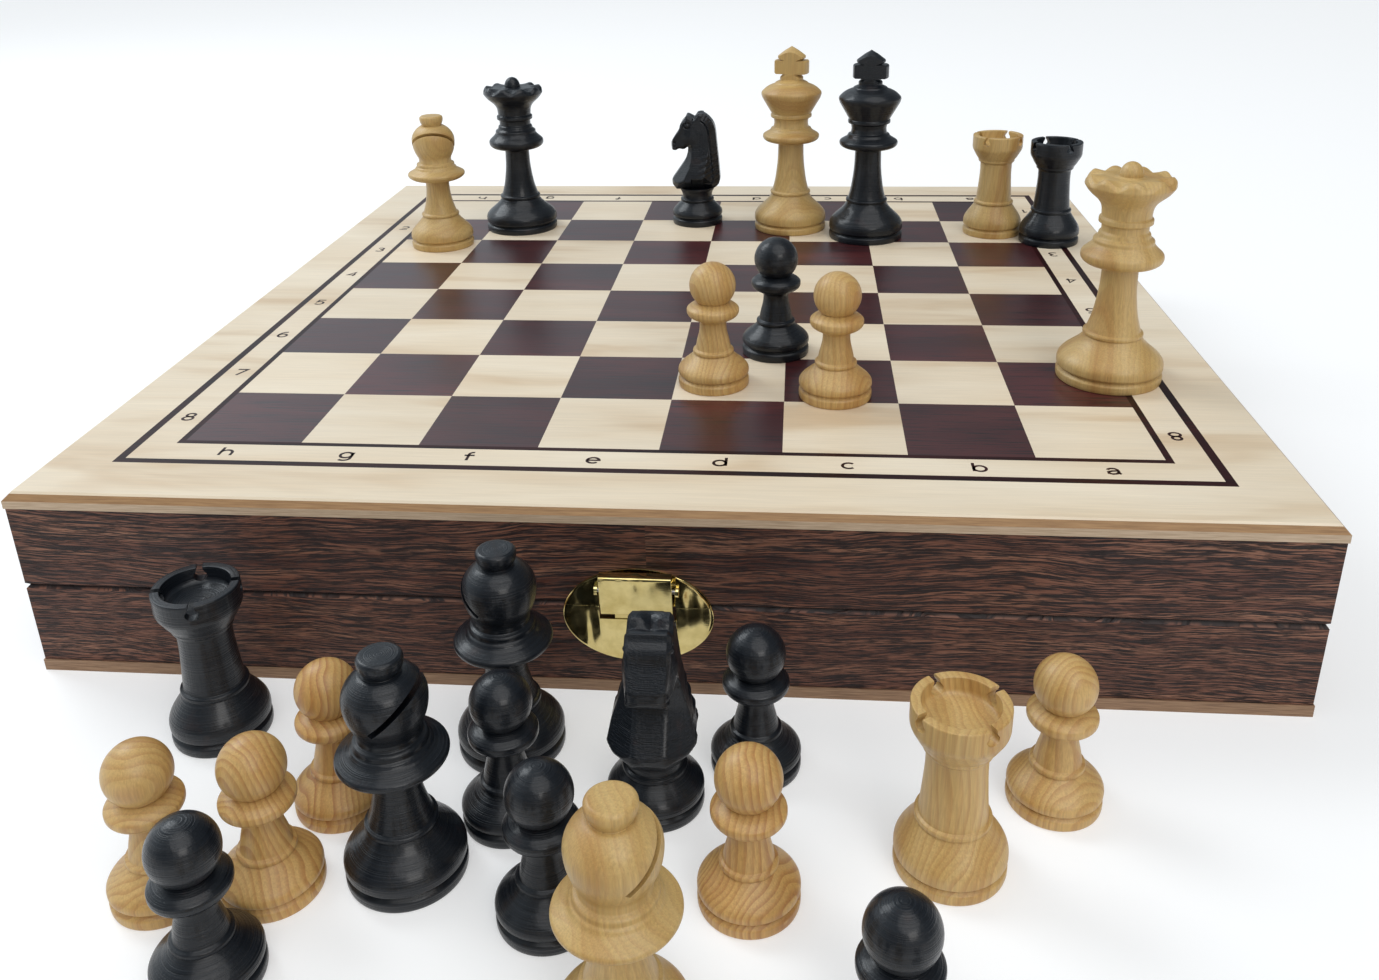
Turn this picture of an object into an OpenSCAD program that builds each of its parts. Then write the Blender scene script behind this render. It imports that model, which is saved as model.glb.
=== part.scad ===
// Chess set: a hinged walnut case whose lid carries the board, and thirty-two turned pieces.
// The origin is under the middle of the case. The board's front edge faces -Y, the hinges +Y.

/* [Board] */
// Side of one playing square
square = 40; // [34:1:50]
// Width of the dark line around the playing field
inner_line = 2.3; // [1:0.1:5]
// Width of the band that carries the coordinates
band = 11.5; // [8:0.5:20]
// Width of the dark line around the coordinates
outer_line = 3; // [1:0.1:6]
// Width of the plain margin outside the lines
margin = 23.2; // [15:0.1:40]
// Thickness of the veneers that make the pattern
veneer = 0.6; // [0.4:0.1:1]
// Thickness of the top board, veneers included
board_t = 5; // [4:0.5:8]
// Size of the bevel along the top board's upper edge
board_bevel = 2.4; // [1.2:0.1:3]

/* [Case] */
// Height of the rails of each half
rail_h = 28; // [24:1:45]
// Thickness of the rails
rail_t = 12; // [11:0.5:18]
// How far the rails stand back from the board's edge
rail_inset = 0.4; // [0:0.1:3]
// Chamfer along the rails' edges at the seam
seam_chamfer = 1; // [0.5:0.1:2]
// Thickness of the bottom board
bottom_t = 4; // [3:0.5:8]
// Thickness of the felt linings
felt_t = 1.2; // [0.8:0.1:3]
// Thickness of the divider in the lower half
divider_t = 8; // [5:1:14]
// Height of the divider
divider_h = 20; // [12:1:24]

/* [Hinges] */
// Distance of the hinge pins from the rails' rear face
hinge_set = 4; // [3.5:0.1:5]
// How far the lid opens, in degrees
lid_open = 95; // [80:1:100]
// Distance of each hinge from the middle of the case
hinge_x = 120; // [60:1:130]
// Length of a hinge
hinge_len = 40; // [30:1:60]
// Outer diameter of the hinge knuckles
knuckle_d = 5; // [4.4:0.1:6]
// Diameter of the hinge pins
hinge_pin_d = 2; // [1.5:0.1:2.6]
// Wood left between a hinge leaf and the inside of its rail
leaf_margin = 0.8; // [0.5:0.1:2]
// Thickness of a hinge leaf
leaf_t = 0.9; // [0.7:0.1:1.2]
// Diameter of the hinge screws' shanks
screw_d = 2; // [1.6:0.1:2.4]
// Length of the hinge screws
screw_len = 9; // [7:1:14]

/* [Catch] */
// Offset of the catch from the middle of the front
catch_x = -3; // [-40:1:40]
// Width of the oval catch plates together
catch_w = 47; // [40:1:60]
// Height of the oval catch plates together
catch_h = 33; // [30:1:40]
// How far the oval's centre lies below the seam
catch_drop = 3.6; // [2:0.1:5]
// Thickness of the catch plates
plate_t = 1.2; // [1:0.1:1.6]
// Width of the rocker
rocker_w = 22; // [18:0.5:26]
// How far the rocker's top stands out from the rail
rocker_out = 6; // [5:0.1:8]
// Thickness of the rocker's sheet
rocker_t = 0.8; // [0.6:0.1:1]
// Diameter of the rocker's pin
rocker_pin_d = 1.4; // [1.2:0.1:1.6]

/* [Pieces] */
// Diameter of the kings' base
king_base = 37.2; // [32:0.2:44]
// Height of the kings
king_height = 93.8; // [80:0.2:110]
// Diameter of the queens' base
queen_base = 37.2; // [32:0.2:44]
// Height of the queens
queen_height = 79.6; // [68:0.2:94]
// Diameter of the bishops' base
bishop_base = 31.2; // [26:0.2:37]
// Height of the bishops
bishop_height = 66.2; // [56:0.2:78]
// Diameter of the knights' base
knight_base = 26.8; // [23:0.2:32]
// Height of the knights
knight_height = 59.2; // [50:0.2:70]
// Diameter of the rooks' base
rook_base = 29; // [25:0.2:34]
// Height of the rooks
rook_height = 50.6; // [43:0.2:60]
// Diameter of the pawns' base
pawn_base = 25.8; // [22:0.2:31]
// Height of the pawns
pawn_height = 46.2; // [40:0.2:55]
// Height of the plinth under every piece
plinth_h = 2.9; // [2:0.1:4]
// Depth of the groove above the plinth
groove = 1.3; // [0.6:0.1:2]
// Points of the queens' coronets
coronet_points = 9; // [7:1:11]
// Width of the notches in the rooks' crowns, where they are widest
notch_w = 3.8; // [2.4:0.1:4.6]
// Width of the slit in the bishops' heads
slit_w = 1.5; // [1:0.1:2.5]
// Thickness of the kings' crosses
cross_t = 8.6; // [6:0.2:11]

/* [Hidden] */
eps = 0.01;
// Running clearance between moving metal parts
play = 0.2;
// Clearance of pins in the bores that turn on them
bore_play = 0.05;

field = 8 * square;
inner_half = field / 2 + inner_line;
band_half = inner_half + band;
outer_half = band_half + outer_line;
half = outer_half + margin;
rail_half = half - rail_inset;
cavity_half = rail_half - rail_t;
seam_z = bottom_t + rail_h;
lid_top_z = seam_z + rail_h;
top_z = lid_top_z + board_t;
core_top_z = top_z - veneer;

pin_y = rail_half - hinge_set;
leaf_w = rail_t - hinge_set - leaf_margin;
leaf_root = knuckle_d / 2 + play;
bevel_angle = lid_open / 2 + 1;
knuckle_count = 5;
knuckle_step = hinge_len / knuckle_count;

// Catch places: distance out from the rail's face, and height above the seam
rocker_top = catch_h / 2 - catch_drop;
rocker_low = -1.5;
rocker_low_out = 3.6;
rocker_pivot = [2.2, rocker_top - 6.5];
window_w = rocker_w + 1.6;
window_low = -4.2;
back_wall = 0.5;
ear_t = 1;
strike_in = back_wall + 0.1;
strike_out = strike_in + 0.8;

// The prongs that the catch plates are held by
prong_x = catch_w / 2 - 6;
prong_w = 3;
prong_len = 5;
lid_prong_z = 3;
base_prong_z = -9;

WHITE_WOOD = [0.85, 0.68, 0.42];
BLACK_WOOD = [0.12, 0.12, 0.14];
MAPLE = [0.9, 0.82, 0.66];
WENGE = [0.3, 0.14, 0.14];
WALNUT = [0.3, 0.2, 0.17];
BRASS = [0.78, 0.66, 0.3];
FELT = [0.12, 0.3, 0.2];

// The least distance between two pieces that stand side by side, and a wider one
near_gap = 1.5;
wide_gap = 5;

// A place beside another, that far from it and in that direction
function beside(place, distance, angle) = place + distance * [cos(angle), sin(angle)];

// Places on the board, from its middle, where one piece stands by another
white_king_at = square * [1, 2.7];
black_king_at = beside(white_king_at, king_base + wide_gap, -23);
white_rook_at = square * [3.6, 2.5];
black_rook_at = beside(white_rook_at, rook_base + near_gap, -32);

// Places on the table of the group that stands around one pawn: distance to the right of the
// middle, and in front of the board's edge
pawn_and_bishop = (pawn_base + bishop_base) / 2;
middle_pawn_at = [-32, 54.5];
rear_bishop_at = beside(middle_pawn_at, pawn_and_bishop + near_gap, -102);
front_bishop_at = beside(middle_pawn_at, pawn_and_bishop + near_gap, 139);
rear_pawn_at = beside(front_bishop_at, pawn_and_bishop + wide_gap, -139);
left_pawn_at = beside(front_bishop_at, pawn_and_bishop + wide_gap, 166);
far_left_pawn_at = beside(left_pawn_at, pawn_base + near_gap, 172);
front_pawn_at = beside(left_pawn_at, pawn_base + near_gap, 98);

// Pieces on the board: name, kind, place, turn
ON_BOARD = [
    ["white_king", "king", white_king_at, -14],
    ["white_queen", "queen", square * [3.95, -2.3], 0],
    ["white_bishop_1", "bishop", square * [-3.45, 1.8], -78],
    ["white_rook_1", "rook", white_rook_at, -35],
    ["white_pawn_1", "pawn", square * [0.35, -2.6], 0],
    ["white_pawn_2", "pawn", square * [1.45, -2.85], 0],
    ["black_king", "king", black_king_at, -8],
    ["black_queen", "queen", square * [-2.6, 2.65], 0],
    ["black_knight_1", "knight", square * [-0.25, 2.95], 180],
    ["black_rook_1", "rook", black_rook_at, 20],
    ["black_pawn_1", "pawn", square * [0.9, -1.8], 0],
];
// Pieces on the table: name, kind, place, turn
ON_TABLE = [
    ["white_bishop_2", "bishop", [8, 118], 30],
    ["white_knight_1", "knight", [-64, 182], -60],
    ["white_knight_2", "knight", [52, 184], -110],
    ["white_rook_2", "rook", [85, 64], 31],
    ["white_pawn_3", "pawn", far_left_pawn_at, 0],
    ["white_pawn_4", "pawn", left_pawn_at, 0],
    ["white_pawn_5", "pawn", rear_pawn_at, 0],
    ["white_pawn_6", "pawn", [34, 79], 0],
    ["white_pawn_7", "pawn", [116, 39], 0],
    ["white_pawn_8", "pawn", [-24, 174], 0],
    ["black_bishop_1", "bishop", front_bishop_at, 0],
    ["black_bishop_2", "bishop", rear_bishop_at, 150],
    ["black_knight_2", "knight", [7, 46], -90],
    ["black_rook_2", "rook", [-128, 24], 20],
    ["black_pawn_2", "pawn", front_pawn_at, 0],
    ["black_pawn_3", "pawn", middle_pawn_at, 0],
    ["black_pawn_4", "pawn", [-15, 87], 0],
    ["black_pawn_5", "pawn", [34, 30], 0],
    ["black_pawn_6", "pawn", [67, 121], 0],
    ["black_pawn_7", "pawn", [14, 180], 0],
    ["black_pawn_8", "pawn", [96, 172], 0],
];

$fn = 48;

// ---------------------------------------------------------------- case

// Four mitred rails; their section comes as a child, with its outer face at x = 0
module mitred_frame() {
    for (turn = [0, 90, 180, 270])
        rotate(turn)
            intersection() {
                translate([-rail_half, -rail_half, 0])
                    rotate([90, 0, 90])
                        linear_extrude(2 * rail_half) children();
                linear_extrude(top_z)
                    polygon([[-rail_half, -rail_half], [rail_half, -rail_half],
                             [cavity_half, -cavity_half], [-cavity_half, -cavity_half]]);
            }
}

module base_section() {
    polygon([[0, bottom_t], [rail_t, bottom_t], [rail_t, seam_z],
             [seam_chamfer, seam_z], [0, seam_z - seam_chamfer]]);
}

module lid_section() {
    polygon([[0, seam_z + seam_chamfer], [seam_chamfer, seam_z], [rail_t, seam_z],
             [rail_t, lid_top_z], [0, lid_top_z]]);
}

// What is cut off behind the hinge pins, so that the two bevels meet and stop the open lid
module rear_bevel(up) {
    reach = hinge_set + 1;
    translate([-half, pin_y, seam_z])
        rotate([90, 0, 90])
            linear_extrude(2 * half)
                polygon([[0, 0], [reach, -up], [reach, up * reach * tan(bevel_angle)]]);
}

// Room for the knuckles and the leaves of both hinges; up is 1 for the lid and -1 for the base
module hinge_mortises(up) {
    depth = leaf_t + play / 2;
    for (side = [-1, 1])
        translate([side * hinge_x, pin_y, seam_z]) {
            rotate([0, 90, 0])
                cylinder(d = knuckle_d + 2 * play, h = hinge_len + 2 * play, center = true);
            translate([-hinge_len / 2, -leaf_w, up > 0 ? -eps : -depth])
                cube([hinge_len, leaf_w, depth + eps]);
            screw_places()
                cylinder(d = screw_d, h = 2 * (screw_len + play), center = true);
        }
}

module screw_places() {
    for (x = [-1, 0, 1])
        translate([x * (hinge_len / 2 - knuckle_step / 2), -(leaf_w + leaf_root) / 2, 0])
            children();
}

// Slots that the catch plates' prongs are pressed into
module prong_slots(z) {
    for (side = [-1, 1])
        translate([catch_x + side * prong_x - prong_w / 2, -rail_half, seam_z + z])
            cube([prong_w, prong_len, plate_t]);
}

module bottom_board() {
    color(MAPLE)
        translate([-half, -half, 0])
            cube([2 * half, 2 * half, bottom_t]);
}

module base_rails() {
    color(WALNUT)
        difference() {
            mitred_frame() base_section();
            rear_bevel(-1);
            hinge_mortises(-1);
            prong_slots(base_prong_z);
        }
}

module lid_rails() {
    color(WALNUT)
        difference() {
            mitred_frame() lid_section();
            rear_bevel(1);
            hinge_mortises(1);
            prong_slots(lid_prong_z);
        }
}

module divider() {
    color(WALNUT)
        translate([-divider_t / 2, -cavity_half, bottom_t])
            cube([divider_t, 2 * cavity_half, divider_h]);
}

module base_lining() {
    width = cavity_half - divider_t / 2;
    color(FELT)
        for (x = [-cavity_half, divider_t / 2])
            translate([x, -cavity_half, bottom_t])
                cube([width, 2 * cavity_half, felt_t]);
}

module lid_lining() {
    color(FELT)
        translate([-cavity_half, -cavity_half, lid_top_z - felt_t])
            cube([2 * cavity_half, 2 * cavity_half, felt_t]);
}

// ---------------------------------------------------------------- board

module square_block(h, z0, z1) {
    translate([-h, -h, z0])
        cube([2 * h, 2 * h, z1 - z0]);
}

module square_ring(outer, inner) {
    difference() {
        square_block(outer, core_top_z, top_z);
        square_block(inner, core_top_z - 1, top_z + 1);
    }
}

// The whole top board as one bevelled slab, which the core and the margin are cut from
module bevelled_slab() {
    intersection_for (turn = [0, 90])
        rotate(turn)
            translate([0, half, 0])
                rotate([90, 0, 0])
                    linear_extrude(2 * half)
                        polygon([[-half, lid_top_z], [half, lid_top_z], [half, top_z - board_bevel],
                                 [half - board_bevel, top_z], [board_bevel - half, top_z],
                                 [-half, top_z - board_bevel]]);
}

module board_core() {
    color(MAPLE)
        intersection() {
            bevelled_slab();
            square_block(half + 1, lid_top_z, core_top_z);
        }
}

module margin_veneer() {
    color(MAPLE)
        difference() {
            bevelled_slab();
            square_block(half + 1, lid_top_z - 1, core_top_z);
            square_block(outer_half, core_top_z - 1, top_z + 1);
        }
}

module outer_line_inlay() {
    color(WENGE) square_ring(outer_half, band_half);
}

module coordinate_band() {
    color(MAPLE) square_ring(band_half, inner_half);
}

module inner_line_inlay() {
    color(WENGE) square_ring(inner_half, field / 2);
}

// The squares of one colour: parity 0 has the near left corner square
module squares(parity) {
    for (i = [0:7], j = [0:7])
        if ((i + j) % 2 == parity)
            translate([i * square - field / 2, j * square - field / 2, core_top_z])
                cube([square, square, veneer]);
}

module light_squares() {
    color(MAPLE) squares(1);
}

module dark_squares() {
    color(WENGE) squares(0);
}

// ---------------------------------------------------------------- hinges

// The leaf and knuckles of one half of a hinge; up is 1 for the lid and -1 for the base.
// The base has the first, third and fifth knuckle and the lid has the two between.
module hinge_leaf(up) {
    first = up > 0 ? 1 : 0;
    leaf_z = up > 0 ? play / 2 : -play / 2 - leaf_t;
    difference() {
        union() {
            translate([-hinge_len / 2, -leaf_w, leaf_z])
                cube([hinge_len, leaf_w - leaf_root, leaf_t]);
            for (k = [first:2:knuckle_count - 1])
                translate([k * knuckle_step - hinge_len / 2 + play / 2, 0, 0]) {
                    translate([0, -leaf_root - eps, leaf_z])
                        cube([knuckle_step - play, leaf_root + eps, leaf_t]);
                    rotate([0, 90, 0])
                        cylinder(d = knuckle_d, h = knuckle_step - play);
                }
        }
        rotate([0, 90, 0])
            cylinder(d = hinge_pin_d + 2 * bore_play, h = hinge_len + 2, center = true);
        screw_places() mirror([0, 0, up > 0 ? 0 : 1]) countersink(bore_play);
    }
}

// The cone under a screw's head, which a leaf is cut to as well with some room to spare
module countersink(room) {
    translate([0, 0, play / 2])
        cylinder(r1 = screw_d + room, r2 = screw_d / 2 + room, h = leaf_t);
}

module both_hinges() {
    for (side = [-1, 1])
        translate([side * hinge_x, pin_y, seam_z]) children();
}

module hinge_leaves_base() {
    color(BRASS) both_hinges() hinge_leaf(-1);
}

module hinge_leaves_lid() {
    color(BRASS) both_hinges() hinge_leaf(1);
}

module hinge_pins() {
    color(BRASS)
        both_hinges()
            rotate([0, 90, 0])
                cylinder(d = hinge_pin_d, h = hinge_len, center = true);
}

// A countersunk screw, its head level with the leaf's face; up is 1 for the lid's screws
module hinge_screw(up) {
    mirror([0, 0, up > 0 ? 0 : 1]) {
        translate([0, 0, play / 2])
            cylinder(d = screw_d, h = screw_len);
        countersink(0);
    }
}

module hinge_screws_base() {
    color(BRASS) both_hinges() screw_places() hinge_screw(-1);
}

module hinge_screws_lid() {
    color(BRASS) both_hinges() screw_places() hinge_screw(1);
}

// ---------------------------------------------------------------- catch

// Places its children on the front face: x stays, y is the distance out, z the height over the seam
module on_front() {
    translate([catch_x, -rail_half, seam_z])
        mirror([0, 1, 0]) children();
}

// Extrudes a shape of [distance out, height] along x, centred
module across(width) {
    translate([-width / 2, 0, 0])
        rotate([90, 0, 90])
            linear_extrude(width) children();
}

module oval(thickness, rim) {
    steps = 72;
    translate([0, thickness, -catch_drop])
        rotate([90, 0, 0])
            linear_extrude(thickness)
                polygon([for (i = [0:steps - 1])
                    [(catch_w / 2 - rim) * cos(i * 360 / steps),
                     (catch_h / 2 - rim) * sin(i * 360 / steps)]]);
}

module slab(x0, x1, y0, y1, z0, z1) {
    translate([x0, y0, z0])
        cube([x1 - x0, y1 - y0, z1 - z0]);
}

module prongs(z) {
    for (side = [-1, 1])
        slab(side * prong_x - prong_w / 2, side * prong_x + prong_w / 2,
             -prong_len, plate_t / 2, z, z + plate_t);
}

module catch_plate_lid() {
    color(BRASS)
        on_front()
            difference() {
                union() {
                    intersection() {
                        oval(plate_t, 0);
                        slab(-catch_w, catch_w, -1, plate_t + 1, play / 2, catch_h);
                    }
                    prongs(lid_prong_z);
                    for (side = [-1, 1])
                        translate([side * (window_w / 2 + ear_t / 2), 0, 0])
                            across(ear_t) ear_outline();
                }
                slab(-window_w / 2, window_w / 2, back_wall, rocker_out, -1, catch_h);
                translate([0, rocker_pivot[0], rocker_pivot[1]])
                    rotate([0, 90, 0])
                        cylinder(d = rocker_pin_d, h = catch_w, center = true);
            }
}

module ear_outline() {
    ear_r = rocker_pin_d / 2 + 0.9;
    translate(rocker_pivot) circle(r = ear_r);
    translate([plate_t / 2, rocker_pivot[1] - ear_r])
        square([rocker_pivot[0] - plate_t / 2, 2 * ear_r]);
}

// The strike is a tongue that rises behind the rocker and ends in a ledge over its hook
module catch_plate_base() {
    boss_low = window_low - 13.5;
    strike_w = rocker_w - 8;
    ledge_out = strike_out + 1.1;
    ledge_low = 0.2;
    ledge_high = 1;
    color(BRASS)
        on_front() {
            difference() {
                intersection() {
                    oval(plate_t, 0);
                    slab(-catch_w, catch_w, -1, plate_t + 1, -catch_h, -play / 2);
                }
                slab(-window_w / 2, window_w / 2, -1, plate_t + 1, window_low, 1);
            }
            slab(-window_w / 2, window_w / 2, plate_t, plate_t + 0.6, boss_low, window_low);
            prongs(base_prong_z);
            across(strike_w)
                polygon([[strike_in, window_low - 1], [strike_out, window_low - 1],
                         [strike_out, ledge_low], [ledge_out, ledge_low],
                         [ledge_out, ledge_high], [strike_in, ledge_high]]);
        }
}

// The rocker is folded from sheet: a top flange, a sloping front, a hook and two pivot lugs
module catch_rocker() {
    lug_x = rocker_w / 2 - 1.2;
    flange_in = rocker_pivot[0] + 0.2;
    hook_in = strike_out + 0.25;
    color(BRASS)
        on_front()
            difference() {
                union() {
                    across(rocker_w)
                        polygon([[flange_in, rocker_top], [rocker_out, rocker_top],
                                 [rocker_low_out, rocker_low], [hook_in, rocker_low],
                                 [hook_in, rocker_low + rocker_t],
                                 [rocker_low_out - rocker_t, rocker_low + rocker_t],
                                 [rocker_out - rocker_t, rocker_top - rocker_t],
                                 [flange_in, rocker_top - rocker_t]]);
                    for (side = [-1, 1])
                        translate([side * lug_x, 0, 0])
                            across(ear_t) lug_outline();
                }
                translate([0, rocker_pivot[0], rocker_pivot[1]])
                    rotate([0, 90, 0])
                        cylinder(d = rocker_pin_d + 2 * bore_play, h = catch_w, center = true);
            }
}

module lug_outline() {
    lug_r = rocker_pin_d / 2 + 0.8;
    translate(rocker_pivot) circle(r = lug_r);
    translate([rocker_pivot[0], rocker_pivot[1] - lug_r])
        square([2.2, 2 * lug_r]);
}

module catch_pin() {
    color(BRASS)
        on_front()
            translate([0, rocker_pivot[0], rocker_pivot[1]])
                rotate([0, 90, 0])
                    cylinder(d = rocker_pin_d, h = window_w + 2 * ear_t, center = true);
}

// The room that the coils of the rocker's torsion spring take on the pin
module catch_spring() {
    coil_len = 9;
    coil_in = rocker_pin_d + 2 * bore_play;
    color(BRASS)
        on_front()
            translate([0, rocker_pivot[0], rocker_pivot[1]])
                rotate([0, 90, 0])
                    difference() {
                        cylinder(d = coil_in + 1, h = coil_len, center = true);
                        cylinder(d = coil_in, h = coil_len + 1, center = true);
                    }
}

// ---------------------------------------------------------------- turned pieces

function unit(v) = v / norm(v);

// An outline of [radius, height, cut]: each corner with a cut is rounded over that length
function rounded(c, steps = 3) = [
    for (i = [0:len(c) - 1])
        let (b = [c[i][0], c[i][1]], cut = c[i][2])
        if (cut == 0) b
        else
            let (before = [c[i - 1][0], c[i - 1][1]], after = [c[i + 1][0], c[i + 1][1]],
                 p = b + unit(before - b) * min(cut, norm(before - b) / 2),
                 q = b + unit(after - b) * min(cut, norm(after - b) / 2))
            for (k = [0:steps])
                let (t = k / steps)
                p * pow(1 - t, 2) + b * 2 * t * (1 - t) + q * pow(t, 2)
];

// Points on an ellipse about [0, z], from angle a0 to a1
function bulge(rx, rz, z, a0, a1, steps) = [
    for (k = [0:steps])
        let (a = a0 + (a1 - a0) * k / steps)
        [rx * cos(a), z + rz * sin(a), 0]
];

// The foot that every piece shares: plinth, groove, bell and the ring on top of the bell
function foot(r, ring_r, ring_z) = let (
    groove_z = plinth_h + 1,
    bell_z = plinth_h + 2,
    rise = ring_z - bell_z
) [
    [0, 0, 0], [r - 0.3, 0, 0.3], [r, 1, 0.5], [r, plinth_h, 0.5],
    [r - groove, groove_z, 0.3], [r, bell_z, 0.5],
    [r, bell_z + 0.3 * rise, 3.6], [ring_r + 1.1, ring_z - 0.24 * rise, 3.6],
    [ring_r - 0.5, ring_z - 0.3, 0.2], [ring_r, ring_z, 0.3], [ring_r, ring_z + 1.1, 0.4],
    [ring_r - 1, ring_z + 1.6, 0.2],
];

module turned(outline) {
    rotate_extrude($fn = 96) polygon(rounded(outline));
}

module pawn() {
    ball_r = 8.3;
    ball_z = pawn_height - ball_r;
    neck_z = ball_z - 6.3;
    collar_r = 9.4;
    ring_z = 12.6;
    turned(concat(
        foot(pawn_base / 2, 7.4, ring_z),
        [
            [5.9, ring_z + 4.4, 2], [4.8, neck_z - 10.4, 2.5], [4.8, neck_z - 7.2, 0.8],
            [collar_r - 0.7, neck_z - 5, 1], [collar_r, neck_z - 3.8, 0.5],
            [collar_r, neck_z - 2.2, 0.5], [collar_r - 1.4, neck_z - 1, 0.8],
        ],
        bulge(ball_r, ball_r, ball_z, -49, 90, 14)));
}

module rook() {
    crown_r = 12.3;
    crown_z = rook_height - 9;
    cup_r = 9.4;
    cup_z = rook_height - 5.2;
    ring_z = 16;
    difference() {
        turned(concat(
            foot(rook_base / 2, 9.8, ring_z),
            [
                [8.3, ring_z + 7, 3], [7.7, crown_z - 10, 3], [7.8, crown_z - 5, 0.6],
                [8.9, crown_z - 4, 0.4], [8.9, crown_z - 3.2, 0.3], [10.4, crown_z - 1, 0.4],
                [10.9, crown_z, 0.3], [crown_r, crown_z + 2.4, 1.2],
                [crown_r, rook_height, 0.5], [cup_r + 0.3, rook_height, 0.4],
                [cup_r, cup_z + 0.8, 1.2], [cup_r - 3, cup_z, 1], [0, cup_z - 0.6, 0],
            ]));
        for (k = [0:3])
            rotate(k * 90)
                translate([cup_r - 2, 0, rook_height])
                    rotate([90, 0, 90])
                        linear_extrude(crown_r) notch_outline();
    }
}

// A notch is narrow at the top and wider lower down; its height is from the rook's top
module notch_outline() {
    wide = notch_w / 2;
    narrow = notch_w / 4;
    polygon([[-narrow, 1], [-narrow, -1], [-wide, -2.2], [-wide, -3.2], [-narrow, -4.2],
             [narrow, -4.2], [wide, -3.2], [wide, -2.2], [narrow, -1], [narrow, 1]]);
}

module bishop() {
    head_r = 10.5;
    head_z = bishop_height - 12.2;
    knob_r = 5.7;
    collar_r = 14.1;
    ring_z = 16;
    difference() {
        turned(concat(
            foot(bishop_base / 2, 9.3, ring_z),
            [
                [6.9, ring_z + 6, 2.5], [5.8, head_z - 26, 3], [5.8, head_z - 20.4, 0.8],
                [collar_r - 2, head_z - 19.2, 1.6], [collar_r, head_z - 17.6, 0.9],
                [collar_r, head_z - 16.2, 0.7], [10.4, head_z - 14.2, 1],
                [9.9, head_z - 13.2, 0.3], [9.3, head_z - 12.8, 0.3], [9.3, head_z - 11.4, 0.5],
                [8, head_z - 10.8, 0.3], [7.9, head_z - 9.4, 0.4],
            ],
            bulge(head_r, 13, head_z, -39, 0, 6),
            bulge(head_r, 8.6, head_z, 8, 58, 6),
            [
                [4.6, bishop_height - 4.9, 0.3], [knob_r, bishop_height - 2.6, 1],
                [knob_r, bishop_height - 0.7, 0.6], [knob_r - 0.9, bishop_height, 0.4],
                [0, bishop_height, 0],
            ]));
        translate([-1, 0, head_z - 4.6])
            rotate([0, -42, 0])
                translate([0, -head_r - 1, -slit_w / 2])
                    cube([3 * head_r, 2 * head_r + 2, slit_w]);
    }
}

// Outline of a horse's head and neck from the side, facing +X: [forward, height over the foot]
function horse_side(h) = [
    [-9, 0], [-11.6, 1.6], [-12.6, 4.2], [-11.8, 15], [-10.8, 25], [-10.4, h - 9],
    [-9.2, h - 5], [-6.2, h - 1.6], [-3.2, h], [-0.8, h - 0.4], [1, h - 2.8],
    [3.6, h - 1.4], [5, h - 1.2], [5.6, h - 2.9], [8, h - 5.2], [8.6, h - 8.4],
    [11, h - 11.8], [13, h - 14.8], [13.2, h - 17.4], [12.2, h - 19], [10.4, h - 19.2],
    [9, h - 18.2], [6.2, h - 18.8], [3.9, h - 17], [4.2, h - 20], [5.6, h - 24.4],
    [8.6, 11], [11.2, 7.4], [13.2, 4.6], [13, 2.8], [10.6, 0],
];

// Half of the horse's outline from the front, from the foot up
function horse_front(h) = [
    [9.4, 0], [11.6, 2], [12.2, 4.4], [11, 10], [9, 16], [7.4, 22], [6.6, h - 10], [6, h],
];

module knight() {
    foot_z = 19.4;
    ring_z = 12.4;
    h = knight_height - foot_z;
    side = horse_front(h);
    turned(concat(
        foot(knight_base / 2, 8.9, ring_z),
        [
            [8, ring_z + 4.2, 1.2], [9.2, foot_z - 0.8, 0.4], [9.2, foot_z + eps, 0],
            [0, foot_z + eps, 0],
        ]));
    translate([0, 0, foot_z])
        intersection() {
            rotate([90, 0, 0])
                linear_extrude(2 * knight_base, center = true) polygon(horse_side(h));
            rotate([90, 0, 90])
                linear_extrude(2 * knight_base, center = true)
                    polygon(concat(side, [for (i = [len(side) - 1:-1:0]) [-side[i][0], side[i][1]]]));
            cylinder(d = knight_base - 0.2, h = knight_height);
        }
}

module queen() {
    rim_r = 15.2;
    rim_z = queen_height - 4.4;
    ball_r = 4;
    collar_r = 14.1;
    collar_z = queen_height - 34.4;
    ring_z = 17;
    scallop_r = 1.25 * rim_r * sin(180 / coronet_points);
    difference() {
        turned(concat(
            foot(queen_base / 2, 10.5, ring_z),
            [
                [7.8, ring_z + 7, 3], [6.4, collar_z - 12, 4], [6.2, collar_z - 2.9, 0.8],
                [12.4, collar_z - 1.6, 1.4], [collar_r, collar_z, 1], [collar_r, collar_z + 2.2, 0.9],
                [11.2, collar_z + 4.8, 1], [10.4, collar_z + 6, 0.3], [10.4, collar_z + 7.2, 0.5],
                [9, collar_z + 8.2, 0.4], [8.7, collar_z + 9.6, 0.3], [8, collar_z + 10.2, 0.3],
                [8, collar_z + 12.6, 0.3], [9.2, collar_z + 13.1, 0.3], [9.2, collar_z + 14.8, 0.4],
                [8.4, collar_z + 15.4, 0.3], [8.8, collar_z + 20, 3],
                [rim_r - 1.6, rim_z - 6, 2], [rim_r, rim_z - 3.6, 0.6], [rim_r - 0.2, rim_z - 1.4, 0.5],
                [rim_r - 1.4, rim_z, 0.4], [5.4, rim_z - 1, 0.6], [ball_r, rim_z - 0.6, 0],
            ],
            bulge(ball_r, ball_r + 0.6, queen_height - ball_r - 0.6, 8, 90, 8)));
        for (k = [0:coronet_points - 1])
            rotate(k * 360 / coronet_points)
                translate([rim_r - 3.2, 0, rim_z + 0.8 * scallop_r])
                    rotate([0, 104, 0])
                        cylinder(r = scallop_r, h = rim_r);
    }
}

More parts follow.
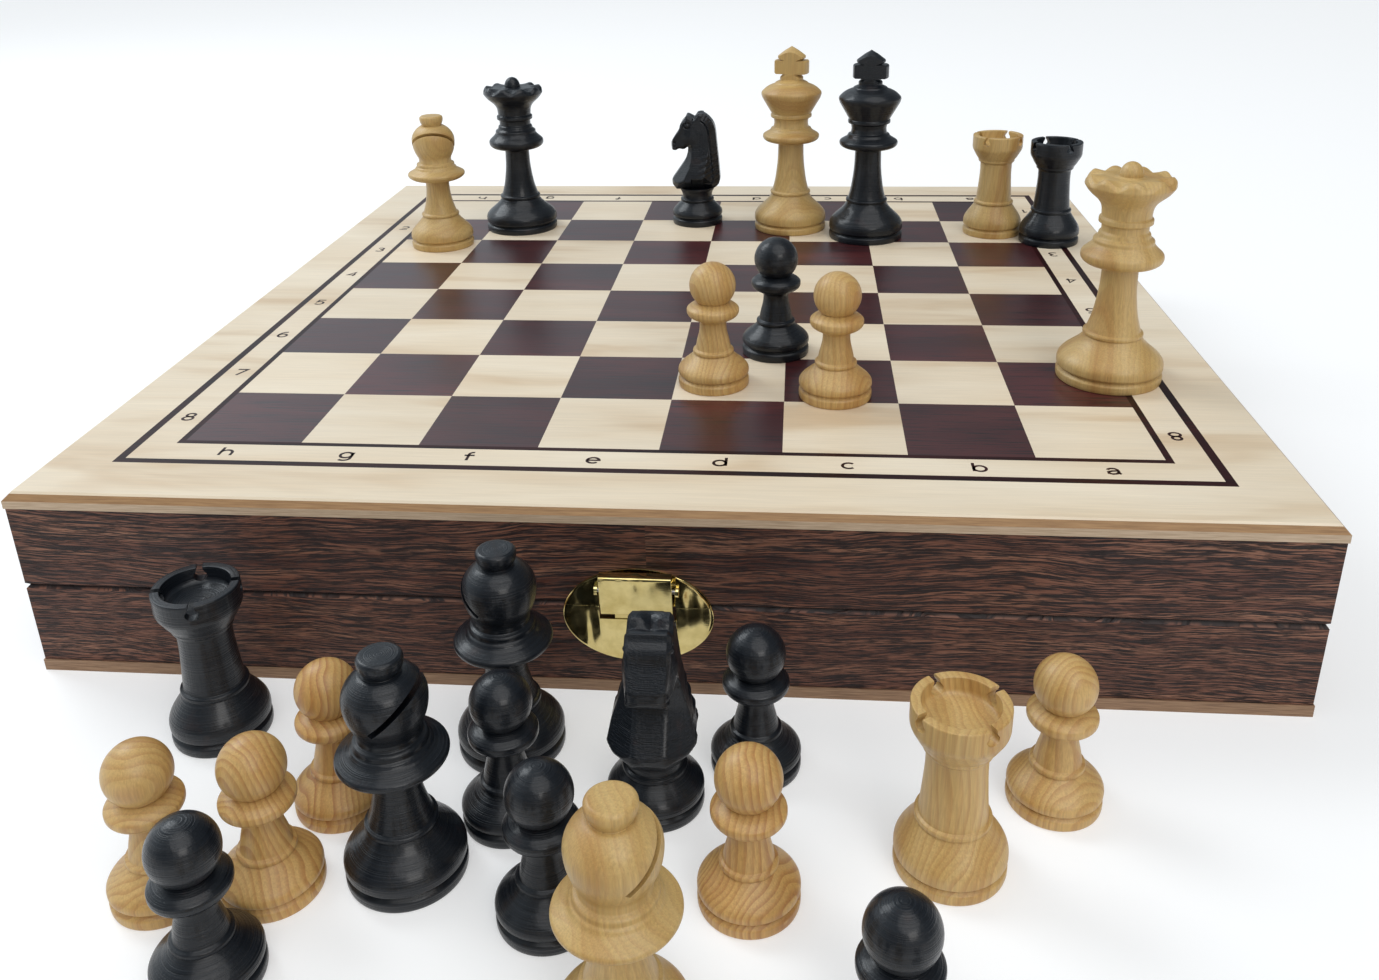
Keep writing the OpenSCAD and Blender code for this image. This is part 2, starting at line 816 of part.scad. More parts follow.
module king() {
    shoulder_r = 15.5;
    shoulder_z = king_height - 22.8;
    collar_r = 14.5;
    collar_z = king_height - 46;
    ring_z = 19;
    turned(concat(
        foot(king_base / 2, 10.4, ring_z),
        [
            [8, ring_z + 7, 3], [6.7, collar_z - 12, 4], [6.5, collar_z - 2.6, 0.8],
            [12.8, collar_z - 1.4, 1.4], [collar_r, collar_z, 1], [collar_r, collar_z + 1.8, 0.8],
            [10.8, collar_z + 4, 1], [10.2, collar_z + 5.2, 0.3], [9, collar_z + 5.7, 0.3],
            [8.6, collar_z + 8, 0.8], [9, collar_z + 10.2, 0.3], [10.5, collar_z + 10.8, 0.3],
            [10.5, collar_z + 12.2, 0.4], [10.1, collar_z + 12.7, 0.2],
            [shoulder_r - 0.5, shoulder_z - 2.2, 1], [shoulder_r, shoulder_z, 1],
            [12.6, shoulder_z + 2.8, 2], [8.6, shoulder_z + 4.4, 0.3], [8.2, shoulder_z + 5, 0.3],
            [5.2, shoulder_z + 6.4, 0.8], [0, shoulder_z + 6.6, 0],
        ]));
    cross(shoulder_z + 5);
}

// The king's cross is turned and then cut flat at its front and its back
module cross(z0) {
    top = king_height;
    intersection() {
        turned([
            [0, z0, 0], [5.2, z0, 0], [5.9, top - 16.8, 0.5], [5.9, top - 15.2, 0.5],
            [4.8, top - 14.2, 0.3], [4.8, top - 13.5, 0], [8.4, top - 13.5, 0],
            [8.8, top - 13, 0], [8.8, top - 7.4, 0], [8.4, top - 6.9, 0], [5, top - 7, 0.4],
            [7, top - 5.8, 0.2], [7.1, top - 4.8, 0.3], [3.4, top - 2, 1], [0, top, 0],
        ]);
        translate([-king_base / 2, -cross_t / 2, z0])
            cube([king_base, cross_t, top]);
    }
}

module chess_piece(name, kind) {
    color(name[0] == "w" ? WHITE_WOOD : BLACK_WOOD) {
        if (kind == "king") king();
        if (kind == "queen") queen();
        if (kind == "bishop") bishop();
        if (kind == "knight") knight();
        if (kind == "rook") rook();
        if (kind == "pawn") pawn();
    }
}

module on_board(p) {
    translate([p[2][0], p[2][1], top_z])
        rotate(p[3]) chess_piece(p[0], p[1]);
}

module on_table(p) {
    translate([p[2][0], -half - p[2][1], 0])
        rotate(p[3]) chess_piece(p[0], p[1]);
}

bottom_board();
base_rails();
base_lining();
divider();
lid_rails();
board_core();
margin_veneer();
outer_line_inlay();
coordinate_band();
inner_line_inlay();
light_squares();
dark_squares();
lid_lining();
hinge_leaves_base();
hinge_leaves_lid();
hinge_pins();
hinge_screws_base();
hinge_screws_lid();
catch_plate_lid();
catch_plate_base();
catch_rocker();
catch_pin();
catch_spring();
for (p = ON_BOARD)
    on_board(p);
for (p = ON_TABLE)
    on_table(p);
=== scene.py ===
"""The looks of a chess set: a hinged walnut case whose lid is the board, and its turned pieces."""

import math
from collections import Counter

import bmesh
import bpy
from mathutils import Matrix, Vector, geometry, kdtree


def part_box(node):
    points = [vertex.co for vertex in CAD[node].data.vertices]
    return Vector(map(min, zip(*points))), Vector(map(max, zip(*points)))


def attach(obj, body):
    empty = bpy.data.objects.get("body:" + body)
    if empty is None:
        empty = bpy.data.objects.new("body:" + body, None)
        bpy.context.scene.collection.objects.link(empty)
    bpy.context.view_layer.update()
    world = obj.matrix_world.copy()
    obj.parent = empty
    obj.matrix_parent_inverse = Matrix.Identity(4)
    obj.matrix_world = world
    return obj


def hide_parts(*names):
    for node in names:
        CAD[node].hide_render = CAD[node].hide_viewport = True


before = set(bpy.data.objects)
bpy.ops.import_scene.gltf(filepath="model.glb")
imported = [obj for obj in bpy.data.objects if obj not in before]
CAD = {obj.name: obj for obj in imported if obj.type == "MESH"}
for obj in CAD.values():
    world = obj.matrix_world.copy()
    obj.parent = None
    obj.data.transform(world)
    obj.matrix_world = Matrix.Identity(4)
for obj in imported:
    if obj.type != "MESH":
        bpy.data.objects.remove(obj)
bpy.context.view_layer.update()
MM = 0.001


# ---------------------------------------------------------------- the case's sizes, from the frame

_, case_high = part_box("base_rails")
field_low, field_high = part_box("light_squares")
SEAM_Z = case_high.z
TOP_Z = field_high.z
RAIL_HALF = case_high.x
SQUARE = (field_high.x - field_low.x) / 8
# The coordinates stand between these two, counted from the middle of the board
BAND_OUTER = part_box("coordinate_band")[1].x
LINE_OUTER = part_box("inner_line_inlay")[1].x
# Where the board's bevelled upper edge begins
BEVEL_Z = TOP_Z - 2.4 * MM


# ---------------------------------------------------------------- material graphs

class Graph:
    """A material's node tree, built by calls that take and return sockets."""

    def __init__(self, name):
        self.material = bpy.data.materials.new(name)
        self.material.use_nodes = True
        self.tree = self.material.node_tree
        self.shader = self.tree.nodes["Principled BSDF"]
        self.place = self.node("TexCoord").outputs["Object"]

    def node(self, kind, **settings):
        made = self.tree.nodes.new("ShaderNode" + kind)
        for name, value in settings.items():
            setattr(made, name, value)
        return made

    def feed(self, socket, value):
        if isinstance(value, bpy.types.NodeSocket):
            self.tree.links.new(value, socket)
        else:
            socket.default_value = value

    def math(self, operation, *values):
        made = self.node("Math", operation=operation)
        for socket, value in zip(made.inputs, values):
            self.feed(socket, value)
        return made.outputs[0]

    def plus(self, a, b):
        return self.math("ADD", a, b)

    def minus(self, a, b):
        return self.math("SUBTRACT", a, b)

    def times(self, a, b):
        return self.math("MULTIPLY", a, b)

    def parts(self, vector):
        made = self.node("SeparateXYZ")
        self.feed(made.inputs[0], vector)
        return made.outputs[:]

    def join(self, x=0.0, y=0.0, z=0.0):
        made = self.node("CombineXYZ")
        for socket, value in zip(made.inputs, (x, y, z)):
            self.feed(socket, value)
        return made.outputs[0]

    def shift(self, vector, other, operation="ADD"):
        made = self.node("VectorMath", operation=operation)
        self.feed(made.inputs[0], vector)
        self.feed(made.inputs[1], other)
        return made.outputs[0]

    def stretched(self, vector, x, y, z):
        return self.shift(vector, (x, y, z), "MULTIPLY")

    def own(self, attribute, output):
        """A value that each object carries as a custom property."""
        made = self.node("Attribute", attribute_type="OBJECT", attribute_name=attribute)
        return made.outputs[output]

    def noise(self, vector, scale=1.0, detail=2.0, roughness=0.5, distortion=0.0):
        made = self.node("TexNoise")
        self.feed(made.inputs["Vector"], vector)
        made.inputs["Scale"].default_value = scale
        made.inputs["Detail"].default_value = detail
        made.inputs["Roughness"].default_value = roughness
        made.inputs["Distortion"].default_value = distortion
        return made.outputs[0]

    def cell(self, vector):
        """A random number for each different vector."""
        made = self.node("TexWhiteNoise")
        self.feed(made.inputs["Vector"], vector)
        return made.outputs["Value"]

    def ramp(self, factor, *stops):
        made = self.node("ValToRGB")
        self.feed(made.inputs[0], factor)
        elements = made.color_ramp.elements
        while len(elements) < len(stops):
            elements.new(0.5)
        for element, (place, colour) in zip(elements, stops):
            element.position = place
            element.color = (*colour, 1.0)
        return made.outputs[0]

    def step(self, factor, low, high):
        """0 below low, 1 above high, with a smooth rise between; low may be the greater."""
        made = self.node("MapRange", interpolation_type="SMOOTHSTEP")
        self.feed(made.inputs[0], factor)
        made.inputs["From Min"].default_value = low
        made.inputs["From Max"].default_value = high
        return made.outputs[0]

    def mix(self, factor, a, b, kind="MIX"):
        made = self.node("Mix", data_type="RGBA", blend_type=kind)
        self.feed(made.inputs[0], factor)
        for socket, value in zip(made.inputs[6:8], (a, b)):
            self.feed(socket, value if isinstance(value, bpy.types.NodeSocket) else (*value, 1.0))
        return made.outputs[2]

    def tone(self, colour, factor, low, high):
        """The colour made darker or brighter, from low to high times as factor goes from 0 to 1."""
        scaled = self.node("MapRange")
        self.feed(scaled.inputs[0], factor)
        scaled.inputs["To Min"].default_value = low
        scaled.inputs["To Max"].default_value = high
        made = self.node("VectorMath", operation="SCALE")
        self.feed(made.inputs[0], colour)
        self.feed(made.inputs["Scale"], scaled.outputs[0])
        return made.outputs[0]

    def bump(self, height, distance, normal=None):
        made = self.node("Bump")
        made.inputs["Distance"].default_value = distance
        self.feed(made.inputs["Height"], height)
        if normal is not None:
            self.feed(made.inputs["Normal"], normal)
        return made.outputs[0]

    def finish(self, colour, roughness, normal, coat=0.0, coat_roughness=0.2, metallic=0.0,
               sheen=0.0, specular=0.5):
        self.feed(self.shader.inputs["Base Color"], colour)
        self.feed(self.shader.inputs["Roughness"], roughness)
        self.feed(self.shader.inputs["Normal"], normal)
        self.shader.inputs["Metallic"].default_value = metallic
        self.shader.inputs["Coat Weight"].default_value = coat
        self.shader.inputs["Coat Roughness"].default_value = coat_roughness
        self.shader.inputs["Sheen Weight"].default_value = sheen
        self.shader.inputs["Specular IOR Level"].default_value = specular
        return self.material


def walnut(name, mitred):
    """Coarse dark wood; its grain runs along each rail and turns at the mitres, or along Y."""
    g = Graph(name)
    x, y, z = g.parts(g.place)
    far_x, far_y = g.math("ABSOLUTE", x), g.math("ABSOLUTE", y)
    front = g.math("GREATER_THAN", far_y, far_x) if mitred else 0.0
    side_on = g.minus(1.0, front)
    along = g.plus(g.times(x, front), g.times(y, side_on))
    deep = g.plus(g.times(far_y, front), g.times(far_x, side_on))
    side = g.plus(g.times(g.math("SIGN", x), 3.0), g.times(g.math("SIGN", y), 7.0))
    plank = g.plus(side, g.times(g.math("GREATER_THAN", z, SEAM_Z), 1.7))
    wave = g.noise(g.join(g.times(along, 11.0), plank, g.times(z, 24.0)), 1.0, 3)
    height = g.plus(g.plus(z, deep), g.times(wave, 14 * MM))

    def streaks(per_along, per_height, detail, rough):
        place = g.join(g.times(along, per_along), plank, g.times(height, per_height))
        return g.noise(place, 1.0, detail, rough)

    bands = streaks(12, 300, 3, 0.55)
    pores = streaks(150, 4000, 2, 0.6)
    lines = streaks(58, 2000, 3, 0.65)
    wood = g.ramp(bands, (0.3, (0.085, 0.027, 0.017)), (0.5, (0.18, 0.072, 0.043)),
                  (0.72, (0.29, 0.14, 0.085)))
    wood = g.mix(g.step(lines, 0.52, 0.45), wood, (0.018, 0.007, 0.006))
    wood = g.mix(g.times(g.step(pores, 0.51, 0.43), 0.85), wood, (0.016, 0.007, 0.006))
    # Painted shade: the wood is darkened in a narrow band along the groove at the seam, where the
    # lid meets the base
    seam = g.math("ABSOLUTE", g.minus(z, SEAM_Z))
    shade = g.times(g.step(seam, 0.9 * MM, 0.2 * MM), 0.9)
    wood = g.mix(shade, wood, (0.008, 0.004, 0.004))
    wood = g.tone(wood, g.noise(g.join(g.times(along, 11.0), plank), 1.0, 1), 0.75, 1.2)
    grain = g.plus(g.step(pores, 0.36, 0.5), g.times(lines, 0.5))
    rough = g.minus(0.62, g.times(pores, 0.22))
    return g.finish(wood, rough, g.bump(grain, 0.18 * MM), specular=0.35)


def veneer_fibres(g, x, y, seed):
    """Long fine fibres along X, and the broad soft figure under them."""
    fibres = g.noise(g.join(g.times(x, 45.0), g.times(y, 1100.0), seed), 1.0, 3, 0.6)
    figure = g.noise(g.join(g.times(x, 8.0), g.times(y, 42.0), seed), 1.0, 3, 0.5, 0.6)
    return fibres, figure


def square_seed(g, x, y):
    """A number that is the same all over one square of the field."""
    column = g.math("FLOOR", g.math("DIVIDE", x, SQUARE))
    row = g.math("FLOOR", g.math("DIVIDE", y, SQUARE))
    return g.cell(g.join(column, row))


def maple(name, by_square):
    """Pale veneer; by_square gives each square of the field a cut of its own."""
    g = Graph(name)
    x, y, _ = g.parts(g.place)
    seed = g.times(square_seed(g, x, y), 40.0) if by_square else 0.3
    fibres, figure = veneer_fibres(g, x, y, seed)
    wood = g.ramp(figure, (0.3, (0.64, 0.48, 0.31)), (0.45, (0.76, 0.63, 0.46)),
                  (0.75, (0.83, 0.72, 0.56)))
    wood = g.tone(wood, fibres, 0.86, 1.1)
    if by_square:
        wood = g.tone(wood, square_seed(g, x, y), 0.95, 1.03)
    rough = g.plus(0.4, g.times(fibres, 0.12))
    return g.finish(wood, rough, g.bump(fibres, 0.03 * MM), coat=0.15, coat_roughness=0.3)


def wenge(name, by_square):
    """Red-brown veneer for the dark squares, or the near-black wood of the lines."""
    g = Graph(name)
    x, y, _ = g.parts(g.place)
    seed = g.times(square_seed(g, x, y), 40.0) if by_square else 0.7
    fibres, figure = veneer_fibres(g, x, y, seed)
    wood = g.ramp(figure, (0.25, (0.03, 0.006, 0.007)), (0.5, (0.06, 0.011, 0.012)),
                  (0.8, (0.105, 0.021, 0.02)))
    wood = g.mix(g.step(fibres, 0.5, 0.34), wood, (0.014, 0.006, 0.008))
    if by_square:
        wood = g.tone(wood, square_seed(g, x, y), 0.8, 1.15)
    else:
        wood = g.tone(wood, figure, 0.3, 0.5)
    rough = g.plus(0.27, g.times(fibres, 0.14))
    gloss = 0.3 if by_square else 0.0
    return g.finish(wood, rough, g.bump(fibres, 0.04 * MM), coat=gloss, coat_roughness=0.25,
                    specular=0.2 + gloss)


def plywood():
    """The edges of the boards: a pale layer below and an orange one on the bevel above it."""
    g = Graph("plywood")
    x, y, z = g.parts(g.place)
    place = g.join(g.times(x, 90.0), g.times(y, 90.0), g.times(z, 2600.0))
    fibres = g.noise(place, 1.0, 3, 0.6)
    pale = g.ramp(fibres, (0.3, (0.38, 0.27, 0.17)), (0.7, (0.58, 0.44, 0.31)))
    orange = g.ramp(fibres, (0.3, (0.24, 0.125, 0.048)), (0.7, (0.38, 0.215, 0.09)))
    lower = g.ramp(fibres, (0.3, (0.16, 0.085, 0.045)), (0.7, (0.36, 0.22, 0.125)))
    edge = g.mix(g.step(z, BEVEL_Z - 0.1 * MM, BEVEL_Z + 0.1 * MM), pale, orange)
    edge = g.mix(g.step(z, SEAM_Z + 1 * MM, SEAM_Z), edge, lower)
    return g.finish(edge, 0.6, g.bump(fibres, 0.1 * MM))


def brass(name, roughness):
    """Rolled sheet with shallow waves, hair lines along it and a little tarnish."""
    g = Graph(name)
    x, _, z = g.parts(g.place)
    tarnish = g.noise(g.place, 160.0, 4, 0.6)
    scratches = g.noise(g.join(g.times(x, 300.0), 0.0, g.times(z, 4000.0)), 1.0, 2)
    metal = g.ramp(tarnish, (0.3, (0.66, 0.52, 0.2)), (0.6, (0.82, 0.68, 0.31)))
    rough = g.plus(roughness, g.times(g.step(tarnish, 0.55, 0.75), 0.1))
    waves = g.noise(g.stretched(g.place, 1.0, 1.0, 0.35), 75.0, 2)
    fine = g.plus(g.times(scratches, 0.3), tarnish)
    bumps = g.bump(fine, 0.02 * MM, g.bump(waves, 1.5 * MM))
    return g.finish(metal, rough, bumps, metallic=1.0)


def steel():
    """Drawn wire and rod."""
    g = Graph("steel")
    _, _, z = g.parts(g.place)
    lines = g.noise(g.join(0.0, 0.0, g.times(z, 5000.0)))
    metal = g.ramp(lines, (0.3, (0.42, 0.42, 0.44)), (0.7, (0.6, 0.6, 0.61)))
    rough = g.plus(0.25, g.times(lines, 0.1))
    return g.finish(metal, rough, g.bump(lines, 0.01 * MM), metallic=1.0)


def felt():
    """Green cloth with a short nap."""
    g = Graph("felt")
    fuzz = g.noise(g.place, 1800.0, 4, 0.7)
    clouds = g.noise(g.place, 45.0, 3)
    cloth = g.ramp(fuzz, (0.3, (0.012, 0.055, 0.03)), (0.7, (0.035, 0.125, 0.07)))
    cloth = g.tone(cloth, clouds, 0.8, 1.2)
    return g.finish(cloth, 0.95, g.bump(fuzz, 0.3 * MM), sheen=0.4, specular=0.1)


def turning_marks(g, x, y, z):
    """The fine rings that the lathe leaves, by height on the stems and by radius on the collars."""
    radius = g.math("SQRT", g.plus(g.times(x, x), g.times(y, y)))
    around = g.stretched(g.place, 25.0, 25.0, 0.0)
    per_metre = 2600.0
    rings = g.join(g.times(radius, per_metre), g.times(z, per_metre))
    return g.noise(g.shift(rings, around), 1.0, 2, 0.6)


def boxwood():
    """Yellow wood cut out of a trunk whose rings pass slantwise through each piece."""
    g = Graph("white_wood")
    own, figure = g.own("grain", "Vector"), g.own("figure", "Fac")
    off_x, off_y, slant = g.parts(own)
    x, y, z = g.parts(g.place)
    lean = g.times(z, slant)
    sway = g.noise(g.shift(g.stretched(g.place, 42.0, 42.0, 16.0), own), 1.0, 2, 0.5)
    away_x = g.plus(g.plus(x, off_x), lean)
    away_y = g.plus(g.plus(y, off_y), g.times(lean, 0.6))
    trunk = g.math("SQRT", g.plus(g.times(away_x, away_x), g.times(away_y, away_y)))
    trunk = g.plus(trunk, g.times(sway, 14 * MM))
    years = g.times(trunk, 560.0)
    ring = g.math("FRACT", years)
    year = g.cell(g.join(g.math("FLOOR", years)))
    late = g.times(g.step(ring, 0.25, 0.92), g.step(ring, 1.0, 0.92))
    late = g.times(g.times(late, figure), g.plus(0.35, g.times(year, 0.65)))
    broad = g.noise(g.join(g.times(trunk, 80.0), g.times(z, 6.0)), 1.0, 2, 0.6)
    fibres = g.noise(g.shift(g.stretched(g.place, 2100.0, 2100.0, 50.0), own), 1.0, 3, 0.65)
    wood = g.ramp(broad, (0.34, (0.58, 0.425, 0.19)), (0.5, (0.51, 0.35, 0.13)),
                  (0.64, (0.39, 0.22, 0.068)))
    warm = g.mix(g.times(figure, 0.6), wood, (0.53, 0.275, 0.075))
    wood = g.mix(g.times(late, 0.8), warm, (0.3, 0.1, 0.026))
    wood = g.tone(wood, fibres, 0.66, 1.36)
    marks = turning_marks(g, x, y, z)
    rough = g.plus(0.36, g.times(fibres, 0.16))
    bumps = g.bump(marks, 0.05 * MM, g.bump(fibres, 0.04 * MM))
    return g.finish(wood, rough, bumps, coat=0.15, coat_roughness=0.3, specular=0.4)


def ebonised():
    """Black lacquer over turned wood, thin enough for the wood to show brown in places."""
    g = Graph("black_wood")
    x, y, z = g.parts(g.place)
    own = g.own("grain", "Vector")
    marks = turning_marks(g, x, y, z)
    wear = g.noise(g.shift(g.place, own), 130.0, 4, 0.6)
    wood = g.ramp(marks, (0.3, (0.003, 0.004, 0.006)), (0.7, (0.007, 0.010, 0.015)))
    wood = g.mix(g.times(g.step(wear, 0.58, 0.75), 0.35), wood, (0.03, 0.014, 0.012))
    rough = g.plus(0.2, g.times(g.plus(marks, wear), 0.13))
    fibres = g.noise(g.shift(g.stretched(g.place, 1500.0, 1500.0, 50.0), own), 1.0, 2, 0.6)
    bumps = g.bump(marks, 0.28 * MM, g.bump(fibres, 0.1 * MM))
    return g.finish(wood, rough, bumps, coat=0.3, coat_roughness=0.18, specular=0.25)


WOODS = {"white": boxwood(), "black": ebonised()}
WALNUT, PLYWOOD, FELT = walnut("walnut_rails", True), plywood(), felt()
BRASS, SATIN_BRASS, STEEL = brass("brass", 0.09), brass("satin_brass", 0.28), steel()
FIELD_DARK, LINES_DARK = wenge("wenge_squares", True), wenge("wenge_lines", False)

LOOKS = {
    "bottom_board": PLYWOOD, "base_rails": WALNUT, "lid_rails": WALNUT,
    "divider": walnut("walnut_divider", False),
    "base_lining": FELT, "lid_lining": FELT, "board_core": PLYWOOD,
    "margin_veneer": maple("maple_margin", False), "coordinate_band": maple("maple_band", False),
    "light_squares": maple("maple_squares", True), "dark_squares": FIELD_DARK,
    "outer_line_inlay": LINES_DARK, "inner_line_inlay": LINES_DARK,
    "hinge_leaves_base": SATIN_BRASS, "hinge_leaves_lid": SATIN_BRASS,
    "hinge_pins": SATIN_BRASS, "hinge_screws_base": SATIN_BRASS, "hinge_screws_lid": SATIN_BRASS,
    "catch_plate_lid": BRASS, "catch_plate_base": BRASS, "catch_rocker": BRASS,
    "catch_pin": STEEL, "catch_spring": STEEL,
}
for node_name, look in LOOKS.items():
    CAD[node_name].data.materials.clear()
    CAD[node_name].data.materials.append(look)


# ---------------------------------------------------------------- meshes, in millimetres

def add_object(name, data):
    made = bpy.data.objects.new(name, data)
    bpy.context.scene.collection.objects.link(made)
    return made


def mesh_of(name, verts, faces):
    mesh = bpy.data.meshes.new(name)
    mesh.from_pydata(verts, [], faces)
    made = bmesh.new()
    made.from_mesh(mesh)
    bmesh.ops.remove_doubles(made, verts=made.verts, dist=1e-4)
    bmesh.ops.recalc_face_normals(made, faces=made.faces)
    made.to_mesh(mesh)
    made.free()
    return mesh


def cut(mesh, tool, operation="DIFFERENCE"):
    """The mesh after a boolean with the tool."""
    body, other = add_object("body", mesh), add_object("tool", tool)
    modifier = body.modifiers.new("cut", "BOOLEAN")
    modifier.operation = operation
    modifier.solver = "EXACT"
    modifier.object = other
    graph = bpy.context.evaluated_depsgraph_get()
    result = bpy.data.meshes.new_from_object(body.evaluated_get(graph), depsgraph=graph)
    for made in (body, other):
        bpy.data.objects.remove(made)
    return result


def unit(v):
    return v / v.length


def smooth(t):
    """0 below 0, 1 above 1 and a smooth rise between."""
    t = min(1.0, max(0.0, t))
    return t * t * (3 - 2 * t)


def rounded(corners, steps=5):
    """An outline of (radius, height, cut): each corner with a cut is rounded over that length."""
    points = []
    for i, (x, z, size) in enumerate(corners):
        corner = Vector((x, z))
        if not size:
            points.append(corner)
            continue
        before = Vector(corners[i - 1][:2]) - corner
        after = Vector(corners[i + 1][:2]) - corner
        p = corner + unit(before) * min(size, before.length / 2)
        q = corner + unit(after) * min(size, after.length / 2)
        for k in range(steps + 1):
            t = k / steps
            points.append(p * (1 - t) ** 2 + corner * 2 * t * (1 - t) + q * t * t)
    return points


def refined(outline, above, step):
    """The outline with more points where it is above a height, so that it can be carved there."""
    points = [outline[0]]
    for p in outline[1:]:
        last = points[-1]
        if p.y > above and (p - last).length > step:
            count = math.ceil((p - last).length / step)
            points += [last.lerp(p, k / count) for k in range(1, count)]
        points.append(p)
    return points


def sampled(outline, step):
    """A closed outline with points no further apart than the step."""
    points = []
    for p, q in zip(outline, outline[1:] + outline[:1]):
        count = max(1, math.ceil((q - p).length / step))
        points += [p.lerp(q, k / count) for k in range(count)]
    return points


def arc(x, y, rx, ry, start, end):
    """Points on an ellipse about (x, y), from one angle to the other, in degrees."""
    steps = max(6, round(abs(end - start) / 15))
    angles = [math.radians(start + (end - start) * k / steps) for k in range(steps + 1)]
    return [(x + rx * math.cos(a), y + ry * math.sin(a)) for a in angles]


def bulge(rx, rz, z, start, end, steps):
    """Corners for rounded() on an ellipse about (0, z), from one angle to the other."""
    angles = [math.radians(start + (end - start) * k / steps) for k in range(steps + 1)]
    return [(rx * math.cos(a), z + rz * math.sin(a), 0) for a in angles]


def lathe(name, outline, segments, top=None):
    """The outline turned about Z; top(x, y, z) may lower a point, as the scallops of a crown do."""
    verts, rings, faces = [], [], []
    for radius, z in outline:
        if radius < 1e-6:
            rings.append([len(verts)] * segments)
            verts.append((0, 0, z))
            continue
        rings.append(range(len(verts), len(verts) + segments))
        for k in range(segments):
            a = 2 * math.pi * k / segments
            x, y = radius * math.cos(a), radius * math.sin(a)
            verts.append((x, y, top(x, y, z) if top else z))
    for low, high in zip(rings, rings[1:]):
        for k in range(segments):
            n = (k + 1) % segments
            face = [low[k], low[n], high[n], high[k]]
            face = [v for i, v in enumerate(face) if v != face[i - 1]]
            if len(face) > 2:
                faces.append(face)
    return mesh_of(name, verts, faces)


def prism(name, outline, depth, place):
    """A flat outline of (u, v) pushed along w by depth both ways; place(u, v, w) is the point."""
    count = len(outline)
    verts = [place(u, v, w) for w in (-depth, depth) for u, v in outline]
    faces = [list(range(count)), list(range(2 * count - 1, count - 1, -1))]
    faces += [[k, (k + 1) % count, (k + 1) % count + count, k + count] for k in range(count)]
    return mesh_of(name, verts, faces)


# ---------------------------------------------------------------- the turned pieces, as in the CAD

# How high the plinth is, and how deep the groove over it
PLINTH, GROOVE = 2.9, 1.3


def foot(r, ring_r, ring_z):
    """The foot that every piece shares: plinth, groove, bell and the ring on top of the bell."""
    groove_z, bell_z = PLINTH + 1, PLINTH + 2
    rise = ring_z - bell_z
    return [
        (0, 0, 0), (r - 0.3, 0, 0.3), (r, 1, 0.5), (r, PLINTH, 0.5),
        (r - GROOVE, groove_z, 0.3), (r, bell_z, 0.5),
        (r, bell_z + 0.3 * rise, 3.6), (ring_r + 1.1, ring_z - 0.24 * rise, 3.6),
        (ring_r - 0.5, ring_z - 0.3, 0.2), (ring_r, ring_z, 0.3), (ring_r, ring_z + 1.1, 0.4),
        (ring_r - 1, ring_z + 1.6, 0.2),
    ]


def pawn(base, height):
    ball_r, collar_r, ring_z = 8.3, 9.4, 12.6
    ball_z = height - ball_r
    neck_z = ball_z - 6.3
    outline = foot(base / 2, 7.4, ring_z) + [
        (5.9, ring_z + 4.4, 2), (4.8, neck_z - 10.4, 2.5), (4.8, neck_z - 7.2, 0.8),
        (collar_r - 0.7, neck_z - 5, 1), (collar_r, neck_z - 3.8, 0.5),
        (collar_r, neck_z - 2.2, 0.5), (collar_r - 1.4, neck_z - 1, 0.8),
    ] + bulge(ball_r, ball_r, ball_z, -49, 90, 26)
    return lathe("pawn", rounded(outline), 80)


def rook(base, height):
    crown_r, cup_r, ring_z = 12.3, 9.4, 16
    crown_z, cup_z = height - 9, height - 5.2
    outline = foot(base / 2, 9.8, ring_z) + [
        (8.3, ring_z + 7, 3), (7.7, crown_z - 10, 3), (7.8, crown_z - 5, 0.6),
        (8.9, crown_z - 4, 0.4), (8.9, crown_z - 3.2, 0.3), (10.4, crown_z - 1, 0.4),
        (10.9, crown_z, 0.3), (crown_r, crown_z + 2.4, 1.2),
        (crown_r, height, 0.5), (cup_r + 0.3, height, 0.4),
        (cup_r, cup_z + 0.8, 1.2), (cup_r - 3, cup_z, 1), (0, cup_z - 0.6, 0),
    ]
    mesh = lathe("rook", rounded(outline), 96)
    half_notch = [(0.95, 1), (0.9, -0.7), (1.25, -1.5), (1.8, -2.2), (1.95, -2.8), (1.7, -3.5),
                  (1.1, -4.1), (0, -4.3)]
    notch = half_notch + [(-x, z) for x, z in reversed(half_notch[:-1])]
    for k in range(4):
        turn = Matrix.Rotation(k * math.pi / 2, 3, "Z")
        middle = crown_r - 1
        tool = prism("notch", notch, 4,
                     lambda u, v, w: turn @ Vector((middle + w, u, height + v)))
        mesh = cut(mesh, tool)
    return mesh


